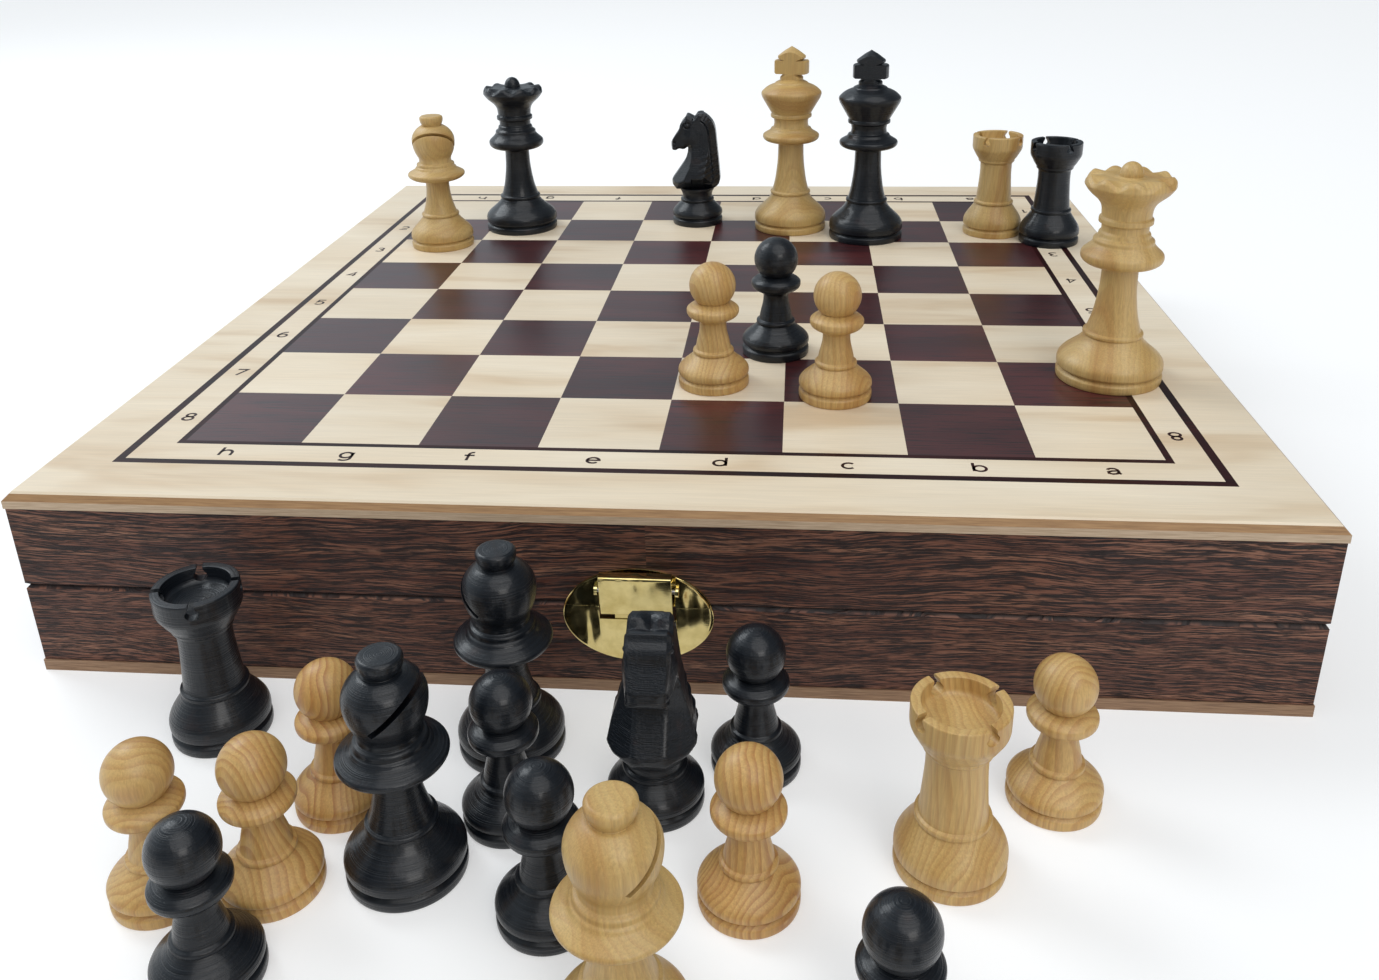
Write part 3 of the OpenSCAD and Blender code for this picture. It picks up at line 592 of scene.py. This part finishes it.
def bishop(base, height):
    head_r, knob_r, collar_r, ring_z = 10.5, 5.7, 14.1, 16
    head_z = height - 12.2
    outline = foot(base / 2, 9.3, ring_z) + [
        (6.9, ring_z + 6, 2.5), (5.8, head_z - 26, 3), (5.8, head_z - 20.4, 0.8),
        (collar_r - 2, head_z - 19.2, 1.6), (collar_r, head_z - 17.6, 0.9),
        (collar_r, head_z - 16.2, 0.7), (10.4, head_z - 14.2, 1),
        (9.9, head_z - 13.2, 0.3), (9.3, head_z - 12.8, 0.3), (9.3, head_z - 11.4, 0.5),
        (8, head_z - 10.8, 0.3), (7.9, head_z - 9.4, 0.4),
    ]
    outline += bulge(head_r, 13, head_z, -39, 0, 12) + bulge(head_r, 8.6, head_z, 6, 58, 12)
    outline += [
        (4.6, height - 4.9, 0.3), (knob_r, height - 2.6, 1), (knob_r, height - 0.7, 0.6),
        (knob_r - 0.9, height, 0.4), (0, height, 0),
    ]
    mesh = lathe("bishop", rounded(outline), 96)
    slit = [(0, -0.75), (3 * head_r, -0.75), (3 * head_r, 0.75), (0, 0.75)]
    slant = Matrix.Rotation(math.radians(-42), 3, "Y")
    start = Vector((-1, 0, head_z - 4.6))
    tool = prism("slit", slit, head_r + 1, lambda u, v, w: start + slant @ Vector((u, w, v)))
    return cut(mesh, tool)


def queen(base, height):
    points, rim_r, ball_r, collar_r, ring_z = 9, 15.2, 4, 14.1, 17
    rim_z, collar_z = height - 4.4, height - 34.4
    outline = foot(base / 2, 10.5, ring_z) + [
        (7.8, ring_z + 7, 3), (6.4, collar_z - 12, 4), (6.2, collar_z - 2.9, 0.8),
        (12.4, collar_z - 1.6, 1.4), (collar_r, collar_z, 1), (collar_r, collar_z + 2.2, 0.9),
        (11.2, collar_z + 4.8, 1), (10.4, collar_z + 6, 0.3), (10.4, collar_z + 7.2, 0.5),
        (9, collar_z + 8.2, 0.4), (8.7, collar_z + 9.6, 0.3), (8, collar_z + 10.2, 0.3),
        (8, collar_z + 12.6, 0.3), (9.2, collar_z + 13.1, 0.3), (9.2, collar_z + 14.8, 0.4),
        (8.4, collar_z + 15.4, 0.3), (8.8, collar_z + 20, 3),
        (rim_r - 1.6, rim_z - 6, 2), (rim_r, rim_z - 3.6, 0.6), (rim_r - 0.2, rim_z - 1.4, 0.5),
        (rim_r - 1.4, rim_z, 0.4), (5.4, rim_z - 1, 0.6), (ball_r, rim_z - 0.6, 0),
    ] + bulge(ball_r, ball_r + 0.6, height - ball_r - 0.6, 8, 90, 14)
    outline = refined(rounded(outline), rim_z - 5, 0.45)

    def scalloped(x, y, z):
        wave = 0.5 + 0.5 * math.cos(points * math.atan2(y, x))
        outward = smooth((math.hypot(x, y) - 8.5) / (rim_r - 10))
        return z - 1.9 * wave ** 1.2 * outward * smooth((z - rim_z + 4.2) / 3.4)

    return lathe("queen", outline, points * 16, scalloped)


def king(base, height):
    shoulder_r, collar_r, ring_z, cross_t = 15.5, 14.5, 19, 8.6
    shoulder_z, collar_z = height - 22.8, height - 46
    outline = foot(base / 2, 10.4, ring_z) + [
        (8, ring_z + 7, 3), (6.7, collar_z - 12, 4), (6.5, collar_z - 2.6, 0.8),
        (12.8, collar_z - 1.4, 1.4), (collar_r, collar_z, 1), (collar_r, collar_z + 1.8, 0.8),
        (10.8, collar_z + 4, 1), (10.2, collar_z + 5.2, 0.3), (9, collar_z + 5.7, 0.3),
        (8.6, collar_z + 8, 0.8), (9, collar_z + 10.2, 0.3), (10.5, collar_z + 10.8, 0.3),
        (10.5, collar_z + 12.2, 0.4), (10.1, collar_z + 12.7, 0.2),
        (shoulder_r - 0.5, shoulder_z - 2.2, 1), (shoulder_r, shoulder_z, 1),
        (12.6, shoulder_z + 2.8, 2), (8.6, shoulder_z + 4.4, 0.3), (8.2, shoulder_z + 5, 0.3),
        (5.2, shoulder_z + 6.4, 0.8), (0, shoulder_z + 6.6, 0),
    ]
    low = shoulder_z + 5
    cross = lathe("cross", rounded([
        (0, low, 0), (5.2, low, 0), (5.9, height - 16.8, 0.5), (5.9, height - 15.2, 0.5),
        (4.8, height - 14.2, 0.3), (4.8, height - 13.5, 0.2), (8.4, height - 13.5, 0.3),
        (8.8, height - 13, 0.4), (8.8, height - 7.4, 0.4), (8.4, height - 6.9, 0.3),
        (5, height - 7, 0.4), (7, height - 5.8, 0.3), (7.1, height - 4.8, 0.4),
        (3.4, height - 2, 1), (0, height, 0),
    ]), 96)
    flat = [(-base, -1), (base, -1), (base, height + 1), (-base, height + 1)]
    slab = prism("slab", flat, cross_t / 2, lambda u, v, w: Vector((u, w, v)))
    cross = cut(cross, slab, "INTERSECT")
    return cut(lathe("king", rounded(outline), 96), cross, "UNION")


def knight(base, height):
    foot_z, ring_z, overlap = 19.4, 12.4, 0.01
    outline = foot(base / 2, 8.9, ring_z) + [
        (8, ring_z + 4.2, 1.2), (9.2, foot_z - 0.8, 0.4), (9.2, foot_z + overlap, 0),
        (0, foot_z + overlap, 0),
    ]
    head = horse(base / 2 - 0.1, height - foot_z)
    head.transform(Matrix.Translation((0, 0, foot_z)))
    return cut(lathe("knight", rounded(outline), 80), head, "UNION")


def horse_outline(h):
    """A horse's head and neck from the side, facing +X: (forward, height over the foot, cut)."""
    return [
        (-9, -0.3, 0), (-11.6, 1.6, 1), (-12.6, 4.2, 1.5), (-11.8, 15, 4), (-10.8, 25, 4),
        (-10.4, h - 9, 3), (-9.2, h - 5, 2), (-6.2, h - 1.6, 2), (-3.2, h, 1.2),
        (-0.8, h - 0.4, 0.5), (1, h - 2.8, 0.5), (3.6, h - 1.4, 0.6), (5, h - 1.2, 0.6),
        (5.6, h - 2.9, 0.8), (8, h - 5.2, 1.5), (8.6, h - 8.4, 1.5), (11, h - 11.8, 2),
        (13, h - 14.8, 1.2), (13.2, h - 17.4, 1), (12.2, h - 19, 0.6), (10.4, h - 19.2, 0.6),
        (9, h - 18.2, 0.8), (6.2, h - 18.8, 1.2), (3.9, h - 17, 1.2), (4.2, h - 20, 1.5),
        (5.6, h - 24.4, 2), (8.6, 11, 2), (11.2, 7.4, 1.5), (13.2, 4.6, 0.5),
        (13, 2.8, 0.5), (10.6, -0.3, 0),
    ]


def between(z, stops):
    """The value at z on a line through stops of (z, value)."""
    for (z0, a), (z1, b) in zip(stops, stops[1:]):
        if z <= z1:
            return a + (b - a) * max(0.0, (z - z0) / (z1 - z0))
    return stops[-1][1]


def dip(distance, width):
    """1 at no distance, falling smoothly to 0 at the width."""
    t = min(1.0, abs(distance) / width)
    return (1 - t * t) ** 2


def horse_depth(x, z, h, edge, distance, reach):
    """Half the horse's thickness at (x, z), kept within the reach of the foot.

    The edge is the nearest point of the outline, and the distance is how far off it lies.
    """
    flank = between(z, [(0, 9.4), (2, 11.6), (4.4, 12.2), (10, 11), (16, 9), (22, 7.4),
                        (h - 10, 6.6), (h, 6)])
    head = dip(x - 14, 12) * dip(z - h + 16, 14)
    flank -= 1.9 * head
    chest = edge.x > 2 and edge.y < h - 19.5
    mane = edge.x < -4
    rim, slope = (4.4, 1.5) if chest else (3.0, 1.1) if mane else (5.0, 1.0)
    deep = min(flank, rim + slope * distance)
    # Locks, groove and notches of the mane, cheek, eye, nostril, mouth, bridle
    locks = dip(x + 8, 9) * dip(z - 11, 12)
    deep += 0.9 * locks * (abs(math.sin(math.pi * (z + 0.5 * x) / 3.3)) - 0.75)
    if mane:
        deep -= 0.75 * dip(distance - 3.6, 0.55)
        deep -= 0.35 * dip(math.sin(edge.y * 1.9), 0.5) * dip(distance, 3.4)
    deep += 0.6 * dip(math.hypot(x - 3, z - h + 12), 5.5)
    eye = math.hypot((x - 4.4) / 1.3, z - h + 6.3)
    deep += 0.5 * dip(eye, 1) - 0.5 * dip(eye - 1.35, 0.5)
    deep -= 0.9 * dip(math.hypot(x - 11.2, z - h + 15.2), 1)
    deep -= 0.7 * dip(z - h + 17.1 - 0.25 * (x - 12), 0.45) * dip(x - 13, 4)
    deep -= 0.5 * dip(x - 1.4 + 0.3 * (z - h + 4), 0.6) * dip(z - h + 3, 3)
    return min(deep, math.sqrt(max(1.0, reach * reach - x * x)))


def horse(reach, h):
    """The side outline filled with points, each pushed out to both sides, and a band between."""
    pitch, columns, rows = 0.4, 68, 104
    outline = sampled(rounded(horse_outline(h)), pitch)
    tree = kdtree.KDTree(len(outline))
    for i, p in enumerate(outline):
        tree.insert((p.x, p.y, 0), i)
    tree.balance()
    points = list(outline)
    for i in range(columns):
        for k in range(rows):
            p = Vector((-13.2 + pitch * i + pitch / 2 * (k % 2), -0.2 + pitch * k))
            if tree.find((p.x, p.y, 0))[2] > 0.6 * pitch:
                points.append(p)
    border = list(range(len(outline)))
    points, _, faces = geometry.delaunay_2d_cdt(points, [], [border], 1, 1e-5)[:3]
    used = sorted({v for face in faces for v in face})
    depths = {}
    for v in used:
        _, nearest, distance = tree.find((points[v].x, points[v].y, 0))
        depths[v] = horse_depth(*points[v], h, outline[nearest], distance, reach)
    verts, sides = [], []
    for sign in (-1, 1):
        sides.append({v: len(verts) + i for i, v in enumerate(used)})
        verts += [(points[v].x, sign * depths[v], points[v].y) for v in used]
    mesh_faces = [[side[v] for v in face] for side in sides for face in faces]

    uses = Counter(frozenset(edge) for face in faces for edge in zip(face, face[1:] + face[:1]))
    strips, steps = {}, 8
    for edge in (e for e, count in uses.items() if count == 1):
        for v in edge:
            if v in strips:
                continue
            x, z = points[v]
            valley = 2.4 * dip(x + 0.6, 4.5) * dip(z - h, 4)
            strips[v] = [sides[0][v]]
            for k in range(1, steps):
                y = depths[v] * (2 * k / steps - 1)
                strips[v].append(len(verts))
                verts.append((x, y, z - valley * dip(y, 2.2)))
            strips[v].append(sides[1][v])
        a, b = (strips[v] for v in edge)
        mesh_faces += [[a[k], b[k], b[k + 1], a[k + 1]] for k in range(steps)]
    return mesh_of("horse", verts, mesh_faces)


# How far each piece is turned on its foot, in degrees; the others stand as they were turned
TURNS = {
    "white_king": -14, "black_king": -8, "white_bishop_1": -78, "white_bishop_2": 30,
    "black_bishop_2": 150, "white_rook_1": -35, "black_rook_1": 20, "white_rook_2": 31,
    "black_rook_2": 20, "black_knight_1": 180, "black_knight_2": -90, "white_knight_1": -60,
    "white_knight_2": -110,
}
# How strongly the year rings of a white piece show; the others are plain
FIGURES = {"white_pawn_1": 0.5, "white_pawn_2": 0.55, "white_pawn_3": 0.6, "white_pawn_4": 0.75,
           "white_pawn_5": 0.9, "white_pawn_6": 0.9, "white_pawn_7": 0.6, "white_rook_2": 0.45}
KINDS = {"pawn": pawn, "rook": rook, "knight": knight, "bishop": bishop, "queen": queen,
         "king": king}


def chessmen():
    meshes = {}
    names = sorted(n for n in CAD if n.startswith(("white_", "black_")))
    for index, name in enumerate(names):
        colour, kind = name.split("_")[:2]
        low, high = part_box(name)
        if kind not in meshes:
            mesh = KINDS[kind]((high.x - low.x) / MM, (high.z - low.z) / MM)
            mesh.transform(Matrix.Scale(MM, 4))
            mesh.shade_smooth()
            mesh.set_sharp_from_angle(angle=math.radians(38))
            meshes[kind] = mesh
        mesh = meshes[kind].copy()
        mesh.materials.clear()
        mesh.materials.append(WOODS[colour])
        piece = add_object("turned_" + name, mesh)
        piece.location = ((low.x + high.x) / 2, (low.y + high.y) / 2, low.z)
        piece.rotation_euler.z = math.radians(TURNS.get(name, 0))
        # Each is cut from the trunk at its own side, distance and slant
        angle = 2.4 * index
        distance = (12 + 2 * ((index * 7) % 10)) * MM
        slant = 0.25 * math.sin(3.7 * index)
        piece["grain"] = (distance * math.cos(angle), distance * math.sin(angle), slant)
        piece["figure"] = FIGURES.get(name, 0.25)
        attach(piece, name)
        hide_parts(name)


# ---------------------------------------------------------------- the catch, in millimetres

rocker_low, rocker_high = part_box("catch_rocker")
oval_low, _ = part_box("catch_plate_base")
_, oval_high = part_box("catch_plate_lid")
CATCH_X = (rocker_low.x + rocker_high.x) / 2 / MM
CATCH_W = (oval_high.x - oval_low.x) / MM
CATCH_H = (oval_high.z - oval_low.z) / MM
CATCH_DROP = SEAM_Z / MM - (oval_high.z + oval_low.z) / 2 / MM
RAIL_Y = -RAIL_HALF / MM
SEAM = SEAM_Z / MM
# The rocker's pin: how far out from the rail, and how high over the seam
PIVOT = (2.2, CATCH_H / 2 - CATCH_DROP - 6.5)
# The window in the oval that the rocker fills: half its width, and its lower edge
WINDOW = 11.8
WINDOW_LOW = -4.2


def on_front(x, out, z):
    """A point of the catch: x from its middle, distance out from the rail, height over the seam."""
    return Vector((CATCH_X + x, RAIL_Y - out, SEAM + z))


def slice_of(name, outline, half_width, middle=0.0):
    """A side outline of (out, z), as wide as twice half_width about a middle in x."""
    return prism(name, outline, half_width, lambda out, z, x: on_front(middle + x, out, z))


def block(half_width, out0, out1, z0, z1):
    """A box about the middle of the catch, from out0 to out1 and from z0 to z1."""
    outline = [(out0, z0), (out1, z0), (out1, z1), (out0, z1)]
    return slice_of("block", outline, half_width)


def oval_plate():
    """The whole oval: a rolled rim and a domed middle."""
    section = [(0, 0), (1, 0), (1, 0.4), (0.995, 0.62), (0.98, 0.78), (0.96, 0.84), (0.94, 0.85),
               (0.9, 0.9), (0.8, 1.05), (0.65, 1.2), (0.45, 1.32), (0.2, 1.38), (0, 1.4)]
    mesh = lathe("oval", [Vector(p) for p in section], 160)
    mesh.transform(Matrix(((CATCH_W / 2, 0, 0, CATCH_X), (0, 0, -1, RAIL_Y),
                           (0, CATCH_H / 2, 0, SEAM - CATCH_DROP), (0, 0, 0, 1))))
    return mesh


def add_metal(mesh, node, body, bevel):
    """Puts a piece of the catch in the place of its CAD node, with a bevel in millimetres."""
    look = LOOKS[node]
    mesh.transform(Matrix.Scale(MM, 4))
    mesh.shade_smooth()
    mesh.set_sharp_from_angle(angle=math.radians(35))
    mesh.materials.clear()
    mesh.materials.append(look)
    piece = add_object("made_" + node, mesh)
    if bevel:
        edge = piece.modifiers.new("edges", "BEVEL")
        edge.width = bevel * MM
        edge.segments = 2
        edge.limit_method = "ANGLE"
        edge.angle_limit = math.radians(40)
    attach(piece, body)
    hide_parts(node)


def catch():
    past, front, lug_t = 30, 5, 0.5
    # The upper half of the oval, with the ears that hold the pin
    upper = cut(oval_plate(), block(past, -1, front, -past, 0.1))
    upper = cut(upper, block(WINDOW, 0.5, front, -1, 20))
    for side in (-1, 1):
        ear = arc(*PIVOT, 1.6, 1.6, -90, 90) + [(0.4, PIVOT[1] + 1.6), (0.4, PIVOT[1] - 1.6)]
        upper = cut(upper, slice_of("ear", ear, lug_t, side * (WINDOW + lug_t)), "UNION")
    add_metal(upper, "catch_plate_lid", "lid", 0.12)

    # The lower half, with the pan behind its window and the strike that the rocker hooks
    lower = cut(oval_plate(), block(past, -1, front, -0.1, past))
    lower = cut(lower, block(WINDOW, -1, front, WINDOW_LOW, 1))
    lower = cut(lower, block(WINDOW, 0.2, 1.75, -16.6, WINDOW_LOW), "UNION")
    strike = [(0.6, WINDOW_LOW - 1), (1.4, WINDOW_LOW - 1), (1.4, 0.2), (2.5, 0.2), (2.5, 1),
              (0.6, 1)]
    lower = cut(lower, slice_of("strike", strike, 7), "UNION")
    add_metal(lower, "catch_plate_base", "base", 0.2)

    # The rocker, one bent sheet with a lug at each end of the pin
    top = PIVOT[1] + 6.5
    sheet = rounded([
        (2.4, top, 0), (6, top, 1.1), (3.6, -1.5, 0.7), (1.65, -1.5, 0), (1.65, -0.7, 0),
        (2.95, -0.7, 0.3), (5.1, top - 0.8, 0.5), (2.4, top - 0.8, 0),
    ])
    rocker = slice_of("sheet", sheet, 11)
    for side in (-1, 1):
        lug = arc(*PIVOT, 1.5, 1.5, 90, 270) + [(4.3, PIVOT[1] - 1.5), (4.5, PIVOT[1] + 1.5)]
        rocker = cut(rocker, slice_of("lug", lug, lug_t, side * 9.8), "UNION")
    add_metal(rocker, "catch_rocker", "rocker", 0.14)
    add_metal(coil(), "catch_spring", "lid", 0)


def coil():
    """A torsion spring's wire, wound about the rocker's pin."""
    turns, around, sides, wire, radius, length = 14, 24, 8, 0.24, 1.0, 8.4
    verts, faces = [], []
    for i in range(turns * around + 1):
        a = 2 * math.pi * i / around
        x = length * (i / (turns * around) - 0.5)
        for k in range(sides):
            b = 2 * math.pi * k / sides
            r = radius + wire * math.cos(b)
            verts.append(on_front(x + wire * math.sin(b), PIVOT[0] + r * math.cos(a),
                                  PIVOT[1] + r * math.sin(a)))
    for i in range(turns * around):
        for k in range(sides):
            n = (k + 1) % sides
            faces.append([i * sides + k, i * sides + n, (i + 1) * sides + n, (i + 1) * sides + k])
    last = turns * around * sides
    faces += [list(range(sides)), list(range(last, last + sides))]
    return mesh_of("coil", verts, faces)


# ---------------------------------------------------------------- the coordinates on the board

BOWL = arc(0.5, 0.5, 0.5, 0.5, 0, 360)
# Strokes of each sign: small letters are 1 high with stems of 1.5, and digits are 1.5 high
SIGNS = {
    "a": [arc(0.45, 0.68, 0.4, 0.34, 165, 0) + [(0.87, 0.12), (1, 0.02)],
          [(0.85, 0.6), (0.4, 0.56), (0.08, 0.42), (0.06, 0.14), (0.34, 0), (0.66, 0.08),
           (0.85, 0.3)]],
    "b": [BOWL, [(0, 1.5), (0, 0)]],
    "c": [arc(0.5, 0.5, 0.5, 0.5, 45, 315)],
    "d": [BOWL, [(1, 1.5), (1, 0)]],
    "e": [[(0, 0.52)] + arc(0.5, 0.5, 0.5, 0.5, 2, 315)],
    "f": [arc(0.72, 1.18, 0.32, 0.32, 75, 180) + [(0.4, 0)], [(0.05, 0.95), (0.9, 0.95)]],
    "g": [BOWL, [(1, 1)] + arc(0.5, -0.1, 0.5, 0.4, 0, -140)],
    "h": [[(0, 1.5), (0, 0)], arc(0.5, 0.5, 0.5, 0.5, 180, 0) + [(1, 0)]],
    "1": [[(0.2, 1.15), (0.6, 1.5), (0.6, 0)]],
    "2": [arc(0.5, 1.05, 0.45, 0.45, 165, -35) + [(0.05, 0), (1, 0)]],
    "3": [arc(0.48, 1.12, 0.4, 0.38, 150, -90), arc(0.48, 0.37, 0.46, 0.37, 90, -150)],
    "4": [[(0.75, 0), (0.75, 1.5), (0, 0.45), (1, 0.45)]],
    "5": [[(0.95, 1.5), (0.2, 1.5), (0.12, 0.8)] + arc(0.47, 0.47, 0.47, 0.47, 130, -150)],
    "6": [arc(0.5, 0.45, 0.46, 0.45, 0, 360),
          [(0.04, 0.45), (0.07, 0.8), (0.22, 1.18), (0.48, 1.42), (0.8, 1.5)]],
    "7": [[(0, 1.5), (1, 1.5), (0.35, 0)]],
    "8": [arc(0.5, 1.12, 0.38, 0.36, 0, 360), arc(0.5, 0.39, 0.46, 0.39, 0, 360)],
}


def stroke(points, width):
    """A flat ribbon along the points, with just enough height to lie on the veneer."""
    sunk, proud = -0.02, 0.03
    points = [Vector(p) for p in points]
    verts, faces = [], []
    for i, p in enumerate(points):
        before = unit(p - points[i - 1]) if i else unit(points[1] - p)
        after = unit(points[i + 1] - p) if i < len(points) - 1 else before
        along = unit(before + after)
        side = Vector((-along.y, along.x)) * width / 2 / max(0.5, along.dot(before))
        for q in (p - side, p + side):
            verts += [(q.x, q.y, sunk), (q.x, q.y, proud)]
    for i in range(0, len(verts) - 4, 4):
        faces += [[i + 1, i + 5, i + 7, i + 3], [i, i + 1, i + 5, i + 4],
                  [i + 2, i + 3, i + 7, i + 6]]
    return verts, faces


def coordinates():
    """Letters along the near and far sides, and digits along the left and right ones."""
    width, height, line = 3.9, 3.7, 0.95
    verts, faces = [], []

    def put(sign, x, y, turn):
        spin = Matrix.Rotation(math.radians(turn), 3, "Z")
        for points in SIGNS[sign]:
            sized = [((u - 0.5) * width, (v - 0.62) * height) for u, v in points]
            ribbon, quads = stroke(sized, line)
            start = len(verts)
            verts.extend(Vector((x, y, TOP_Z / MM)) + spin @ Vector(v) for v in ribbon)
            faces.extend([start + v for v in quad] for quad in quads)

    side = (BAND_OUTER + LINE_OUTER) / 2 / MM
    pitch = 1.015 * SQUARE / MM
    for k, (letter, digit) in enumerate(zip("hgfedcba", "87654321")):
        along = (k - 3.5) * pitch
        put(letter, along, -side, 0)
        put(letter, along, side, 180)
        put(digit, -side, along, 0)
        put(digit, side, along, 180)
    mesh = bpy.data.meshes.new("coordinates")
    mesh.from_pydata(verts, [], faces)
    mesh.transform(Matrix.Scale(MM, 4))
    mesh.materials.append(LINES_DARK)
    piece = add_object("board_coordinates", mesh)
    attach(piece, "lid")


# ---------------------------------------------------------------- stage, light and camera

def aim(lamp, direction):
    lamp.rotation_euler = direction.to_track_quat("-Z", "Y").to_euler()


def area_light(name, place, target, size, power, colour):
    light = bpy.data.lights.new(name, "AREA")
    light.shape = "RECTANGLE"
    light.size, light.size_y = size
    light.energy = power
    light.color = colour
    lamp = add_object(name, light)
    lamp.location = place
    aim(lamp, Vector(target) - Vector(place))


def floor():
    size = 8.0
    corners = [(-size, -size, 0), (size, -size, 0), (size, size, 0), (-size, size, 0)]
    mesh = mesh_of("floor", corners, [[0, 1, 2, 3]])
    g = Graph("floor")
    g.shader.inputs["Emission Color"].default_value = (1, 1, 1, 1)
    g.shader.inputs["Emission Strength"].default_value = 0.35
    grey = (0.66, 0.66, 0.66, 1.0)
    bumps = g.bump(g.noise(g.place, 400.0), 0.01 * MM)
    mesh.materials.append(g.finish(grey, 0.8, bumps, specular=0.2))
    add_object("floor", mesh)


def surroundings():
    """Plain white behind the object, and for the object itself a soft glow from the back left."""
    toward_glow = unit(Vector((-0.75, 0.35, 0.45)))
    dimmest, brightest, backdrop = 0.2, 1.0, 1.3
    world = bpy.data.worlds.new("studio")
    bpy.context.scene.world = world
    world.use_nodes = True
    tree = world.node_tree
    seen = tree.nodes.new("ShaderNodeLightPath")
    direction = tree.nodes.new("ShaderNodeTexCoord")
    glow = tree.nodes.new("ShaderNodeVectorMath")
    glow.operation = "DOT_PRODUCT"
    glow.inputs[1].default_value = toward_glow
    tree.links.new(direction.outputs["Generated"], glow.inputs[0])
    level = tree.nodes.new("ShaderNodeMapRange")
    level.inputs["From Min"].default_value = 0.35
    level.inputs["From Max"].default_value = 1.0
    level.inputs["To Min"].default_value = dimmest
    level.inputs["To Max"].default_value = brightest
    tree.links.new(glow.outputs["Value"], level.inputs[0])
    choice = tree.nodes.new("ShaderNodeMix")
    tree.links.new(seen.outputs["Is Camera Ray"], choice.inputs[0])
    tree.links.new(level.outputs[0], choice.inputs[2])
    choice.inputs[3].default_value = backdrop
    background = tree.nodes["Background"]
    tree.links.new(choice.outputs[0], background.inputs["Strength"])
    background.inputs["Color"].default_value = (0.82, 0.92, 1.0, 1.0)


def lamps():
    area_light("window", (-1.2, 0.5, 1.3), (0, 0, 0), (0.7, 0.9), 11, (0.92, 0.97, 1.0))
    area_light("front", (0.7, -1.5, 0.9), (0, -0.2, 0.03), (0.7, 0.5), 5, (1.0, 0.97, 0.93))
    sky = bpy.data.lights.new("sky", "SUN")
    sky.energy = 1.5
    sky.angle = math.radians(60)
    aim(add_object("sky", sky), Vector((-0.25, 0.45, -1)))


def camera():
    """A wide lens held low in front, a little to the right of the middle."""
    place = (0.0436, -0.5016, 0.2357)
    right = Vector((0.99644, 0.08230, -0.01845))
    up = Vector((-0.01373, 0.37405, 0.92731))
    data = bpy.data.cameras.new("camera")
    data.sensor_width = 36.0
    data.lens = 30.755
    data.shift_x = -0.0051
    data.shift_y = -0.0959
    data.clip_start = 0.01
    made = add_object("camera", data)
    axes = Matrix((right, up, right.cross(up))).transposed().to_4x4()
    made.matrix_world = Matrix.Translation(place) @ axes
    bpy.context.scene.camera = made


chessmen()
coordinates()
catch()
floor()
surroundings()
lamps()
camera()
bpy.context.scene.view_settings.view_transform = "Standard"
